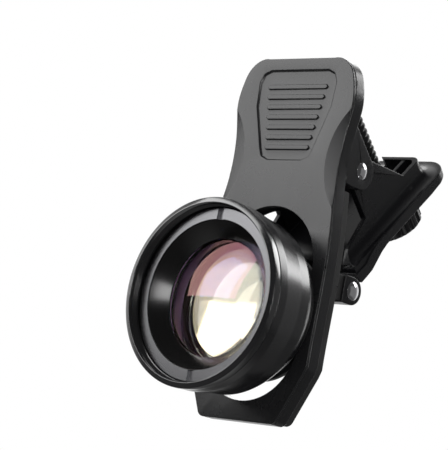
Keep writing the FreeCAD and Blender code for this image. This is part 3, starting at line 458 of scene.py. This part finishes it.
class Maker:
    """Makes meshes from sizes in millimetres and links them as pieces of the object."""

    AROUND = 160
    TURNED_CREASE_DEG = 34.0
    LONGEST_SHARE = 0.49
    ON_AXIS = 1e-6

    @staticmethod
    def rounded(profile: Sequence[Corner], steps: int = 4) -> List[Point]:
        """Round the corners of a closed profile.

        Args:
            profile: Corners as (u, v, radius).
            steps: Segments for each rounded corner.

        Returns:
            The points of the rounded profile.
        """
        points: List[Point] = []
        count = len(profile)
        for i, (u, v, radius) in enumerate(profile):
            here = Vector((u, v))
            if radius <= 0:
                points.append((u, v))
                continue
            before = Vector(profile[i - 1][:2]) - here
            after = Vector(profile[(i + 1) % count][:2]) - here
            longest = min(before.length, after.length) * Maker.LONGEST_SHARE
            cut = min(radius / math.tan(before.angle(after) / 2), longest)
            start = here + before.normalized() * cut
            end = here + after.normalized() * cut
            for k in range(steps + 1):
                s = k / steps
                p = start * (1 - s) ** 2 + here * 2 * s * (1 - s) + end * s * s
                points.append((p.x, p.y))
        return points

    @staticmethod
    def turned(name: str, profile: Sequence[Point]) -> bpy.types.Object:
        """Turn a closed profile about the lens axis.

        Args:
            name: Name of the piece.
            profile: Points (r, a), where a is ahead of the plate's front.

        Returns:
            The new object.
        """
        bm = bmesh.new()
        around = Maker.AROUND
        rings: List[List[bmesh.types.BMVert]] = []
        for r, a in profile:
            y = (PLATE_FRONT_Y - a) * MM
            if r < Maker.ON_AXIS:
                rings.append([bm.verts.new((0, y, 0))])
                continue
            angles = (2 * math.pi * k / around for k in range(around))
            rings.append([bm.verts.new((r * MM * math.cos(t), y, r * MM * math.sin(t))) for t in angles])
        for one, two in zip(rings, rings[1:] + rings[:1]):
            if len(one) == 1 and len(two) == 1:
                continue
            for k in range(around):
                j = (k + 1) % around
                if len(one) == 1:
                    bm.faces.new((one[0], two[k], two[j]))
                elif len(two) == 1:
                    bm.faces.new((one[k], two[0], one[j]))
                else:
                    bm.faces.new((one[k], two[k], two[j], one[j]))
        bmesh.ops.recalc_face_normals(bm, faces=bm.faces)
        obj = Maker.link(name, bm, bpy.data.meshes.new(name))
        Maker.smooth(obj, Maker.TURNED_CREASE_DEG)
        return obj

    @staticmethod
    def link(name: str, bm: bmesh.types.BMesh, mesh: bpy.types.Mesh) -> bpy.types.Object:
        """Write a finished mesh and link it to the scene.

        Args:
            name: Name of the piece.
            bm: The finished mesh, which is freed.
            mesh: The mesh that it is written to.

        Returns:
            The new object.
        """
        bm.to_mesh(mesh)
        bm.free()
        obj = bpy.data.objects.new(name, mesh)
        bpy.context.scene.collection.objects.link(obj)
        return obj

    @staticmethod
    def smooth(obj: bpy.types.Object, crease_deg: float) -> None:
        """Shade a piece smooth, with edges sharp above an angle.

        Args:
            obj: The piece.
            crease_deg: Angle above which an edge stays sharp.
        """
        obj.data.shade_smooth()
        obj.data.set_sharp_from_angle(angle=math.radians(crease_deg))

    @staticmethod
    def dress(obj: bpy.types.Object, surface: Surface, body: str, *nodes: str) -> bpy.types.Object:
        """Give a piece its finish and body, and hide the nodes it stands for.

        Args:
            obj: The piece.
            surface: Its finish.
            body: The body it rides on.
            nodes: CAD nodes that it replaces.

        Returns:
            The same object.
        """
        obj.data.materials.clear()
        obj.data.materials.append(FINISHES[surface].material())
        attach(obj, body)
        if nodes:
            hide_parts(*nodes)
        LOG.info("piece %s on %s", obj.name, body)
        return obj


class FlatFaces:
    """Finds the flat faces of a solid's mesh and joins each that has no hole."""

    SAME_PLANE = math.radians(0.4)
    NO_ANGLE = 9.0

    def __init__(self, bm: bmesh.types.BMesh) -> None:
        """Gather the groups of neighbouring faces that lie in one plane.

        Args:
            bm: The solid's mesh.
        """
        self.bm = bm
        self.groups: List[List[bmesh.types.BMFace]] = []
        seen = set()
        for face in bm.faces:
            if face in seen:
                continue
            seen.add(face)
            group = [face]
            for member in group:
                for edge in member.edges:
                    if len(edge.link_faces) != 2 or edge.calc_face_angle(self.NO_ANGLE) > self.SAME_PLANE:
                        continue
                    for other in edge.link_faces:
                        tilt = other.normal.angle(face.normal, self.NO_ANGLE)
                        if other not in seen and tilt < self.SAME_PLANE:
                            seen.add(other)
                            group.append(other)
            self.groups.append(group)

    def areas(self) -> Dict[bmesh.types.BMFace, float]:
        """Return, for every face, the area of its whole flat group.

        Returns:
            The areas by face.
        """
        area: Dict[bmesh.types.BMFace, float] = {}
        for group in self.groups:
            area.update(dict.fromkeys(group, sum(face.calc_area() for face in group)))
        return area

    def join(self) -> None:
        """Make one face of each flat group that has no hole in it."""
        for group in self.groups:
            if len(group) > 1 and self.loops(group) == 1:
                bmesh.ops.dissolve_faces(self.bm, faces=group, use_verts=False)

    @staticmethod
    def loops(group: List[bmesh.types.BMFace]) -> int:
        """Count the closed loops of edges round a flat group.

        Args:
            group: Neighbouring faces in one plane.

        Returns:
            The number of loops, which is 1 for a group without holes.
        """
        inside = set(group)
        links: Dict[bmesh.types.BMVert, List[bmesh.types.BMVert]] = {}
        for edge in (e for f in group for e in f.edges if sum(g in inside for g in e.link_faces) == 1):
            one, two = edge.verts
            links.setdefault(one, []).append(two)
            links.setdefault(two, []).append(one)
        count = 0
        left = set(links)
        while left:
            count += 1
            stack = [left.pop()]
            while stack:
                for vert in links[stack.pop()]:
                    if vert in left:
                        left.remove(vert)
                        stack.append(vert)
        return count


@dataclass(frozen=True)
class Rounding:
    """How a solid is dressed: its body, its finish and the widths of its rounded edges.

    Widths are in mm. The rim of a large flat face counts as an edge above crease_deg. Inside the
    window (low x, low z, high x, high z) on the front face, edges are wide_mm wide.
    """

    body: str
    surface: Surface
    width_mm: float
    crease_deg: float = 60.0
    wide_mm: float = 0.0
    window: Window = (0.0, 0.0, 0.0, 0.0)

    WELD_MM: ClassVar[float] = 0.002
    SHARP_DEG: ClassVar[float] = 30.0
    LARGE_FLAT_MM2: ClassVar[float] = 14.0
    CREASE_SHARE: ClassVar[float] = 0.45
    FRONT_LAYER_MM: ClassVar[float] = 0.02
    STEPS: ClassVar[int] = 2
    FLAT_WEIGHT: ClassVar[int] = 60

    @property
    def widest(self) -> float:
        """Return the width of the widest rounded edges."""
        return max(self.width_mm, self.wide_mm)

    def build(self, node: str) -> None:
        """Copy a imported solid's mesh, keep its flat faces flat, round its edges and dress it.

        Args:
            node: The CAD node.
        """
        name = node + "_rounded"
        mesh = frame["nodes"][node].data.copy()
        mesh.name = name
        bm = bmesh.new()
        bm.from_mesh(mesh)
        bmesh.ops.remove_doubles(bm, verts=bm.verts, dist=self.WELD_MM * MM)
        bm.normal_update()
        flats = FlatFaces(bm)
        self.weigh(bm, flats.areas())
        for face in bm.faces:
            face.smooth = True
        flats.join()
        obj = Maker.link(name, bm, mesh)
        self.soften(obj)
        Maker.dress(obj, self.surface, self.body, node)

    def weigh(self, bm: bmesh.types.BMesh, area: Dict[bmesh.types.BMFace, float]) -> None:
        """Mark each edge to round with its share of the widest width.

        Args:
            bm: The mesh.
            area: For each face, the area of its whole flat group.
        """
        weight = bm.edges.layers.float.new("bevel_weight_edge")
        front = min(vert.co.y for vert in bm.verts) + self.FRONT_LAYER_MM * MM
        low_x, low_z, high_x, high_z = (edge * MM for edge in self.window)
        for edge in bm.edges:
            edge.smooth = True
            if len(edge.link_faces) != 2:
                continue
            turn = math.degrees(edge.calc_face_angle(0.0))
            flat = max(area[face] for face in edge.link_faces) > self.LARGE_FLAT_MM2 * MM * MM
            in_window = all(
                v.co.y < front and low_x < v.co.x < high_x and low_z < v.co.z < high_z for v in edge.verts
            )
            if turn > self.SHARP_DEG:
                edge[weight] = (self.wide_mm if in_window else self.width_mm) / self.widest
            elif turn > self.crease_deg and flat:
                edge[weight] = self.CREASE_SHARE * self.width_mm / self.widest
            edge.smooth = edge[weight] == 0.0

    def soften(self, obj: bpy.types.Object) -> None:
        """Round the marked edges and keep the flat faces evenly shaded.

        Args:
            obj: The piece.
        """
        bevel = obj.modifiers.new("edges", "BEVEL")
        bevel.width = self.widest * MM
        bevel.segments = self.STEPS
        bevel.limit_method = "WEIGHT"
        bevel.miter_outer = "MITER_ARC"
        bevel.use_clamp_overlap = False
        even = obj.modifiers.new("even_normals", "WEIGHTED_NORMAL")
        even.mode = "FACE_AREA_WITH_ANGLE"
        even.weight = self.FLAT_WEIGHT
        even.keep_sharp = False


# Lens


@dataclass(frozen=True)
class Dome:
    """A curved face of a glass: its radius, the place of its middle and the radius of its curve.

    A curve above 0 bulges to the front, and one below 0 rises to its edge.
    """

    radius: float
    apex_a: float
    curve: float

    def points(self, steps: int = 24) -> List[Point]:
        """Return the face from its edge to its middle.

        Args:
            steps: Segments from edge to middle.

        Returns:
            Points (r, a).
        """
        centre = self.apex_a - self.curve
        side = math.copysign(1.0, self.curve)
        radii = (self.radius * (1 - k / steps) for k in range(steps + 1))
        return [(r, centre + side * math.sqrt(self.curve * self.curve - r * r)) for r in radii]


@dataclass
class Lens:
    """The turned rings and glasses of the lens, in mm.

    A name that ends in _r is a radius, and one that ends in _a is a place on the axis, counted
    ahead of the plate's front. A corner is (r, a, rounding).
    """

    seam: float = 0.05

    lip_a: float = 18.8
    lip_r: float = 19.0
    lip_outer_a: float = 18.36
    lip_roundings: Tuple[float, float] = (0.08, 0.12)
    mouth_flare: float = 0.32
    mouth_drop: float = 0.34
    mouth_roundings: Tuple[float, float] = (0.05, 0.06)
    rim_r: float = 20.0
    rim_foot_up: float = 0.12
    rim_foot_rounding: float = 0.10
    groove_a: float = 16.68
    groove_in: float = 0.4
    groove_rise: float = 0.02
    skirt_in: float = 0.75
    skirt_lap: float = 0.15
    skirt_clear: float = 0.02

    filter_r: float = 18.5
    thread_pitch: float = 0.48
    thread_depth: float = 0.36
    thread_rounding: float = 0.03
    thread_start: float = 0.12
    thread_stop: float = 0.42
    thread_end_depth: float = 0.16

    ring_face_a: float = 16.28
    ring_hole_r: float = 15.81
    ring_t: float = 1.4

    funnel_a: float = 13.1
    funnel_r: float = 12.5
    funnel_t: float = 0.35
    funnel_drop: float = 0.1
    funnel_roundings: Tuple[float, float] = (0.05, 0.08)

    barrel_top_r: float = 19.55
    barrel_wall: Tuple[Corner, ...] = (
        (19.90, 14.2, 3.5),
        (19.14, 8.8, 3.5),
        (18.90, 5.80, 0.18),
    )
    barrel_shoulder: float = 0.22
    barrel_shoulder_rounding: float = 0.12
    barrel_steps: int = 16
    back_a: float = 5.6
    back_r: float = 18.58
    plug_r: float = 15.5
    shelf_r: float = 13.0
    shelf_low_a: float = 8.6
    shelf_a: float = 9.4
    pocket_r: float = 16.65
    pocket_a: float = 12.5

    base_wall: Tuple[Corner, ...] = (
        (18.72, 5.42, 0.08),
        (18.10, 4.2, 0.8),
        (17.0, 2.5, 1.0),
    )
    flange_a: float = 1.1
    flange_r: float = 16.15
    flange_rounding: float = 0.15
    tail_r: float = 8.95
    tail_a: float = -5.0
    tail_chamfer: float = 0.4
    rear_seat_r: float = 7.6
    rear_seat_a: float = -0.5
    throat_r: float = 6.6
    throat_a: float = 0.4
    bell_r: float = 11.8
    bell_a: float = 5.0
    middle_seat_r: float = 13.2
    plug_a: float = 7.4

    front_dome: Dome = Dome(16.6, 15.0, 35.0)
    front_hollow: Dome = Dome(12.6, 13.0, 24.5)
    middle_dome: Dome = Dome(13.15, 8.75, 40.0)
    rear_dome: Dome = Dome(7.55, 0.55, 20.0)
    rear_back_a: float = -3.0
    rear_edge_a: float = -2.4
    coat_bowl: Dome = Dome(11.6, 4.5, -60.0)
    coat_steps: int = 20
    coat_t: float = 0.03
    # Radii and places of the violet ring on the shelf, a painted reflection of the coating.
    reflection_ring_r: Tuple[float, float] = (13.1, 16.5)
    reflection_ring_a: Tuple[float, float] = (9.405, 9.435)

    @property
    def skirt_low_a(self) -> float:
        """Return where the rim's skirt ends, a little above the ring's back."""
        return self.ring_face_a - self.ring_t + self.skirt_lap

    def build(self) -> None:
        """Build and dress every lens piece."""
        self.rim()
        self.barrel()
        self.base()
        self.funnel()
        self.glasses()

    def ring(self, name: str, profile: Sequence[Corner], surface: Surface, node: str, steps: int = 4) -> None:
        """Turn and dress one ring.

        Args:
            name: Name of the piece.
            profile: Its corners.
            surface: Its finish.
            node: The CAD node that it stands for.
            steps: Segments for each rounded corner.
        """
        Maker.dress(Maker.turned(name, Maker.rounded(profile, steps)), surface, "lens", node)

    def rim(self) -> None:
        """Build the front rim with its chamfered lip and filter thread."""
        skirt_bore_r = self.filter_r + self.skirt_clear
        skirt_r = self.rim_r - self.skirt_in
        profile = [
            (skirt_bore_r, self.skirt_low_a, 0.0),
            (skirt_bore_r, self.ring_face_a - self.seam, 0.0),
        ]
        a = self.ring_face_a + self.thread_start
        while a + self.thread_pitch < self.lip_a - self.thread_stop:
            profile.append((self.filter_r + self.thread_depth, a, self.thread_rounding))
            profile.append((self.filter_r, a + self.thread_pitch / 2, self.thread_rounding))
            a += self.thread_pitch
        profile += [
            (self.filter_r + self.thread_end_depth, a, 0.0),
            (self.filter_r + self.seam, self.lip_a - self.mouth_drop, self.mouth_roundings[0]),
            (self.filter_r + self.mouth_flare, self.lip_a, self.mouth_roundings[1]),
            (self.lip_r, self.lip_a, self.lip_roundings[0]),
            (self.rim_r, self.lip_outer_a, self.lip_roundings[1]),
            (self.rim_r, self.groove_a + self.rim_foot_up, self.rim_foot_rounding),
            (self.rim_r - self.groove_in, self.groove_a + self.groove_rise, 0.0),
            (skirt_r, self.groove_a, 0.0),
            (skirt_r, self.skirt_low_a, 0.0),
        ]
        self.ring("front_rim_turned", profile, Surface.RIM, "front_rim")

    def barrel(self) -> None:
        """Build the outer barrel as one smooth waisted wall, with the shelf inside it."""
        top_a = self.groove_a - self.seam
        step_a = self.skirt_low_a - self.seam
        skirt_seat_r = self.rim_r - self.skirt_in + self.seam
        profile = [
            (skirt_seat_r, top_a, 0.0),
            (self.barrel_top_r, top_a, 0.0),
            (self.barrel_wall[0][0], top_a - self.barrel_shoulder, self.barrel_shoulder_rounding),
            *self.barrel_wall,
            (self.back_r, self.back_a, 0.0),
            (self.plug_r, self.back_a, 0.0),
            (self.plug_r, self.shelf_low_a, 0.0),
            (self.shelf_r, self.shelf_low_a, 0.0),
            (self.shelf_r, self.shelf_a, 0.0),
            (self.pocket_r, self.shelf_a, 0.0),
            (self.pocket_r, self.pocket_a, 0.0),
            (self.filter_r, self.pocket_a, 0.0),
            (self.filter_r, step_a, 0.0),
            (skirt_seat_r, step_a, 0.0),
        ]
        self.ring("lens_barrel_turned", profile, Surface.BARREL, "lens_barrel", self.barrel_steps)

    def base(self) -> None:
        """Build the conical base, its tail and the seats of the middle and rear glasses."""
        plug_r = self.plug_r - self.seam
        top_a = self.back_a - self.seam
        flange_a = self.flange_a + self.seam
        profile = [
            (plug_r, top_a, 0.0),
            (self.back_r, top_a, 0.0),
            *self.base_wall,
            (self.flange_r, flange_a, self.flange_rounding),
            (self.tail_r, flange_a, 0.0),
            (self.tail_r, self.tail_a + self.tail_chamfer, 0.0),
            (self.tail_r - self.tail_chamfer, self.tail_a, 0.0),
            (self.rear_seat_r, self.tail_a, 0.0),
            (self.rear_seat_r, self.rear_seat_a, 0.0),
            (self.throat_r, self.rear_seat_a, 0.0),
            (self.throat_r, self.throat_a, 0.0),
            (self.bell_r, self.bell_a, 0.0),
            (self.bell_r, self.back_a, 0.0),
            (self.middle_seat_r, self.back_a, 0.0),
            (self.middle_seat_r, self.plug_a, 0.0),
            (plug_r, self.plug_a, 0.0),
        ]
        self.ring("lens_base_turned", profile, Surface.BARREL, "lens_base")

    def funnel(self) -> None:
        """Build the plain cone that leads down to the front glass."""
        ring_low_a = self.ring_face_a - self.ring_t - self.seam
        nose_r = self.ring_hole_r - self.seam
        outer_r = self.filter_r - self.seam
        low_a = self.funnel_a - self.funnel_t
        profile = [
            (nose_r, ring_low_a, 0.0),
            (nose_r, self.ring_face_a - self.funnel_drop, self.funnel_roundings[0]),
            (self.funnel_r, self.funnel_a, self.funnel_roundings[1]),
            (self.funnel_r, low_a, 0.0),
            (outer_r, low_a, 0.0),
            (outer_r, ring_low_a, 0.0),
        ]
        self.ring("funnel_turned", profile, Surface.FUNNEL, "funnel_baffle")

    def glasses(self) -> None:
        """Build the three glasses, the coating behind the middle one and the violet ring on the shelf, a
        painted reflection.
        """
        front_low_a = self.shelf_a + self.seam
        front = [*self.front_dome.points(), *reversed(self.front_hollow.points())]
        front.append((self.front_dome.radius, front_low_a))
        self.layer("front_glass_smooth", front, Surface.COATED, "front_glass")
        middle_low_a = self.back_a + self.seam
        middle = [*self.middle_dome.points(), (0.0, middle_low_a), (self.middle_dome.radius, middle_low_a)]
        self.layer("middle_glass_smooth", middle, Surface.INNER_GLASS, "middle_glass")
        rear = [*self.rear_dome.points(), (0.0, self.rear_back_a), (self.rear_dome.radius, self.rear_edge_a)]
        self.layer("rear_glass_smooth", rear, Surface.INNER_GLASS, "rear_glass")
        bowl = self.coat_bowl.points(self.coat_steps)
        coat = [*reversed(bowl), *((r, a - self.coat_t) for r, a in bowl)]
        self.layer("middle_coat", coat, Surface.MIRROR)
        # A matte violet ring on the shelf under the front glass's edge: a painted reflection.
        (in_r, out_r), (low_a, high_a) = self.reflection_ring_r, self.reflection_ring_a
        sheen = [(in_r, low_a), (out_r, low_a), (out_r, high_a), (in_r, high_a)]
        self.layer("shelf_painted_reflection", sheen, Surface.PAINTED_SHELF_REFLECTION)

    def layer(self, name: str, profile: Sequence[Point], surface: Surface, *nodes: str) -> None:
        """Turn and dress one glass or one thin layer on a glass.

        Args:
            name: Name of the piece.
            profile: Its points (r, a).
            surface: Its finish.
            nodes: The CAD nodes that it stands for.
        """
        Maker.dress(Maker.turned(name, profile), surface, "lens", *nodes)


# Clip


@dataclass
class Clip:
    """The plate, arm, jaw, knob and slide, rounded from their solids."""

    roundings: Dict[str, Rounding] = field(
        default_factory=lambda: {
            "front_arm": Rounding("plate", Surface.PLATE, 0.20, crease_deg=8.0),
            "face_cover": Rounding(
                "plate", Surface.COVER, 0.14, crease_deg=4.5, wide_mm=0.38, window=(-12.0, 32.0, 12.0, 53.5)
            ),
            "front_pad": Rounding("plate", Surface.RUBBER, 0.22),
            "pivot_pin": Rounding("plate", Surface.CHROME, 0.05),
            "rear_arm": Rounding("rear", Surface.ARM, 0.16),
            "jaw_pin": Rounding("rear", Surface.CHROME, 0.05),
            "jaw_foot": Rounding("jaw", Surface.ARM, 0.18),
            "jaw_pad": Rounding("jaw", Surface.RUBBER, 0.25),
            "knob": Rounding("screw", Surface.KNOB, 0.10),
            "screw_tip": Rounding("screw_travel", Surface.SCREW, 0.12),
            "front_retaining_ring": Rounding("lens", Surface.RING, 0.05),
            "slide_nut": Rounding("slide", Surface.SLIDE, 0.08),
            "slide_ring": Rounding("slide", Surface.SLIDE, 0.08),
        }
    )

    def build(self) -> None:
        """Round and dress each solid."""
        for node, rounding in self.roundings.items():
            rounding.build(node)


@dataclass
class ClampScrew:
    """The coarse threaded rod of the thumb screw, as a true right-hand helix, in mm.

    It starts at its tip and runs along its axis: a plain neck, the thread and a plain end in the
    knob. The flank and the crest are shares of a pitch.
    """

    tip: Place = (0.0, 11.673, 49.179)
    along: Place = (0.0, 0.75471, -0.65606)
    neck_r: float = 1.5
    root_r: float = 2.13
    crest_r: float = 2.55
    pitch: float = 1.47
    flank: float = 0.34
    root_share: float = 0.15
    run_out: float = 0.7
    neck_end: float = 2.25
    neck_step: float = 0.02
    thread_end: float = 25.6
    length: float = 29.3
    around: int = 48
    per_pitch: int = 14
    crease_deg: float = 50.0

    def radius(self, t: float, turn: float) -> float:
        """Return the rod's radius at a place behind its neck.

        Args:
            t: Distance from the tip along the rod.
            turn: Share of a turn about the rod.

        Returns:
            The radius.
        """
        phase = (t / self.pitch - turn) % 1.0
        rise = min(1.0, max(0.0, (0.5 - abs(phase - 0.5)) / self.flank - self.root_share))
        fade_in = max(0.0, (t - self.neck_end) / self.run_out)
        fade_out = max(0.0, (self.thread_end - t) / self.run_out)
        return self.root_r + (self.crest_r - self.root_r) * rise * min(1.0, fade_in, fade_out)

    def build(self) -> None:
        """Build and dress the rod."""
        along = Vector(self.along).normalized()
        side = Vector((1.0, 0.0, 0.0))
        across = along.cross(side)
        turns = [k / self.around for k in range(self.around)]
        count = int((self.length - self.neck_end) / self.pitch * self.per_pitch)
        step = (self.length - self.neck_end) / count
        stations = [(t, [self.neck_r] * self.around) for t in (0.0, self.neck_end - self.neck_step)]
        for t in (self.neck_end + i * step for i in range(count + 1)):
            stations.append((t, [self.radius(t, turn) for turn in turns]))
        bm = bmesh.new()
        rings = []
        for t, radii in stations:
            ring = []
            for turn, r in zip(turns, radii):
                angle = 2 * math.pi * turn
                outward = side * math.cos(angle) + across * math.sin(angle)
                ring.append(bm.verts.new((Vector(self.tip) + along * t + outward * r) * MM))
            rings.append(ring)
        for one, two in zip(rings, rings[1:]):
            for k in range(self.around):
                j = (k + 1) % self.around
                bm.faces.new((one[k], one[j], two[j], two[k]))
        bm.faces.new(rings[0])
        bm.faces.new(rings[-1])
        bmesh.ops.recalc_face_normals(bm, faces=bm.faces)
        name = "clamp_screw_helix"
        obj = Maker.link(name, bm, bpy.data.meshes.new(name))
        Maker.smooth(obj, self.crease_deg)
        Maker.dress(obj, Surface.SCREW, "screw", "clamp_screw")


def dress_nodes() -> None:
    """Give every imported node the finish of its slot."""
    slots = {part["node"]: part["material_slot"] for part in frame["record"]["subparts"]}
    for node, obj in frame["nodes"].items():
        mat = FINISHES[Surface(slots[node])].material()
        if not obj.data.materials:
            obj.data.materials.append(mat)
        for slot in obj.material_slots:
            slot.material = mat


# Studio


@dataclass(frozen=True)
class SoftLamp:
    """A rectangular lamp: its direction, distance and size in metres, and brightness."""

    toward: Place
    distance: float
    size: Tuple[float, float]
    radiance: float


@dataclass
class Studio:
    """Floor, world, lamps and the camera at the photograph's angle.

    The aim says how far the lens axis, at the plate's front, lies right of and above the middle of
    the view, as a share of the distance. The offset shifts the picture. The floor's lengths are in
    metres.
    """

    azimuth_deg: float = 42.297
    elevation_deg: float = -9.273
    roll_deg: float = 10.736
    distance_mm: float = 448.88
    aim_u: float = 0.014535
    aim_v: float = -0.040569
    focal_px: float = 2140.40
    offset_px: Tuple[float, float] = (0.12, -0.75)
    frame_px: Tuple[int, int] = (448, 450)
    sensor_mm: float = 36.0
    clip_range: Tuple[float, float] = (0.02, 20.0)

    floor_z: float = -0.16
    floor_half: float = 3.0
    floor_roughness: float = 0.8
    floor_tone: float = 0.86
    floor_dim_tone: float = 0.05
    floor_dim: Tuple[float, float] = (0.10, 0.25)
    floor_clear: Tuple[float, float] = (0.30, 0.85)

    world_light: float = 0.45
    white_edge: Tuple[float, float] = (0.30, 0.88)
    dim_room: float = 0.05
    soft_lamps: Dict[str, SoftLamp] = field(
        default_factory=lambda: {
            "front_left": SoftLamp((-0.62, -0.70, 0.46), 1.0, (0.85, 0.70), 4.0),
            "back_right": SoftLamp((0.28, 0.76, 0.54), 1.0, (0.40, 0.36), 5.0),
            "right": SoftLamp((0.72, 0.66, 0.10), 1.0, (0.90, 0.80), 0.12),
            "back_left": SoftLamp((-0.55, 0.70, 0.45), 1.0, (0.60, 0.50), 2.0),
            "top": SoftLamp((-0.10, 0.25, 1.0), 1.0, (0.70, 0.70), 1.2),
            "front_right": SoftLamp((0.70, -0.72, 0.10), 0.9, (0.20, 0.30), 11.0),
        }
    )

    def build(self) -> None:
        """Set up the whole studio."""
        self.camera()
        self.floor()
        self.world()
        self.lamps()
        bpy.context.scene.view_settings.view_transform = "Standard"

    def axes(self) -> Tuple[Vector, Vector, Vector]:
        """Return the photograph's right, up and back directions.

        Returns:
            Three unit vectors.
        """
        az, el, roll = map(math.radians, (self.azimuth_deg, self.elevation_deg, self.roll_deg))
        back = Vector((math.sin(az) * math.cos(el), -math.cos(az) * math.cos(el), math.sin(el)))
        right = Vector((math.cos(az), math.sin(az), 0))
        up = back.cross(right)
        right_rolled = right * math.cos(roll) + up * math.sin(roll)
        up_rolled = up * math.cos(roll) - right * math.sin(roll)
        return right_rolled, up_rolled, back

    def camera(self) -> None:
        """Place the camera."""
        right, up, back = self.axes()
        place = (-right * self.aim_u - up * self.aim_v + back) * self.distance_mm
        place.y += PLATE_FRONT_Y
        data = bpy.data.cameras.new("photo_camera")
        cam = bpy.data.objects.new("photo_camera", data)
        bpy.context.scene.collection.objects.link(cam)
        turn = Matrix((right, up, back)).transposed().to_4x4()
        cam.matrix_world = Matrix.Translation(place * MM) @ turn
        longest = max(self.frame_px)
        data.sensor_width = self.sensor_mm
        data.lens = self.focal_px / longest * self.sensor_mm
        data.shift_x = -self.offset_px[0] / longest
        data.shift_y = self.offset_px[1] / longest
        data.clip_start, data.clip_end = self.clip_range
        bpy.context.scene.camera = cam

    def floor(self) -> None:
        """Lay a pale floor far below the object.

        Away from the object it sends little light back at the piece, and it clears before its own
        edge, so that no view shows where it ends.
        """
        mesh = bpy.data.meshes.new("floor")
        half = self.floor_half
        corners = [(-half, -half), (half, -half), (half, half), (-half, half)]
        mesh.from_pydata([(x, y, self.floor_z) for x, y in corners], [], [(0, 1, 2, 3)])
        obj = bpy.data.objects.new("floor", mesh)
        bpy.context.scene.collection.objects.link(obj)
        mat = bpy.data.materials.new("floor_pale")
        mat.use_nodes = True
        graph = Graph(mat.node_tree)
        shader = mat.node_tree.nodes["Principled BSDF"].inputs
        shader["Roughness"].default_value = self.floor_roughness
        place = graph.add("TexCoord").outputs["Object"]
        away = graph.add("VectorMath", {0: place}, operation="LENGTH").outputs["Value"]
        unseen = graph.calculate("SUBTRACT", 1.0, graph.add("LightPath").outputs["Is Camera Ray"])
        share = graph.calculate("MULTIPLY", graph.fade(away, *self.floor_dim), unseen)
        pale, dim = ((tone, tone, tone, 1.0) for tone in (self.floor_tone, self.floor_dim_tone))
        graph.give(shader["Base Color"], graph.blend(share, pale, dim))
        graph.give(shader["Alpha"], graph.fade(away, *self.floor_clear, at_start=1.0, at_end=0.0))
        mesh.materials.append(mat)

    def world(self) -> None:
        """Make a room that is white behind the object and dim behind the photograph's camera."""
        world = bpy.data.worlds.new("studio")
        bpy.context.scene.world = world
        world.use_nodes = True
        world.node_tree.nodes.clear()
        graph = Graph(world.node_tree)
        place = graph.add("TexCoord").outputs["Generated"]
        ahead = {0: place, 1: -self.axes()[2]}
        toward = graph.add("VectorMath", ahead, operation="DOT_PRODUCT").outputs["Value"]
        room = graph.fade(toward, *self.white_edge, at_start=self.dim_room)
        light, gloss, seen = (
            graph.add("Background", {"Color": WHITE, "Strength": strength}).outputs[0]
            for strength in (self.world_light, room, 1.0)
        )
        path = graph.add("LightPath").outputs
        direct = graph.calculate("MAXIMUM", path["Is Camera Ray"], path["Is Transmission Ray"])
        first = graph.add("MixShader", {"Fac": path["Is Glossy Ray"], 1: light, 2: gloss})
        last = graph.add("MixShader", {"Fac": direct, 1: first.outputs[0], 2: seen})
        graph.add("OutputWorld", {"Surface": last.outputs[0]})

    def lamps(self) -> None:
        """Hang the soft lamps, each facing the object from its own direction."""
        for name, lamp in self.soft_lamps.items():
            direction = Vector(lamp.toward).normalized()
            data = bpy.data.lights.new("lamp_" + name, "AREA")
            data.shape = "RECTANGLE"
            data.size, data.size_y = lamp.size
            data.energy = lamp.radiance * math.pi * lamp.size[0] * lamp.size[1]
            obj = bpy.data.objects.new("lamp_" + name, data)
            bpy.context.scene.collection.objects.link(obj)
            obj.location = direction * lamp.distance
            obj.rotation_mode = "QUATERNION"
            obj.rotation_quaternion = direction.to_track_quat("Z", "Y")


def main() -> None:
    """Build every sub-assembly in order."""
    logging.basicConfig(level=logging.INFO, format="%(message)s")
    dress_nodes()
    Lens().build()
    Clip().build()
    ClampScrew().build()
    Studio().build()


if __name__ == "__main__":
    main()
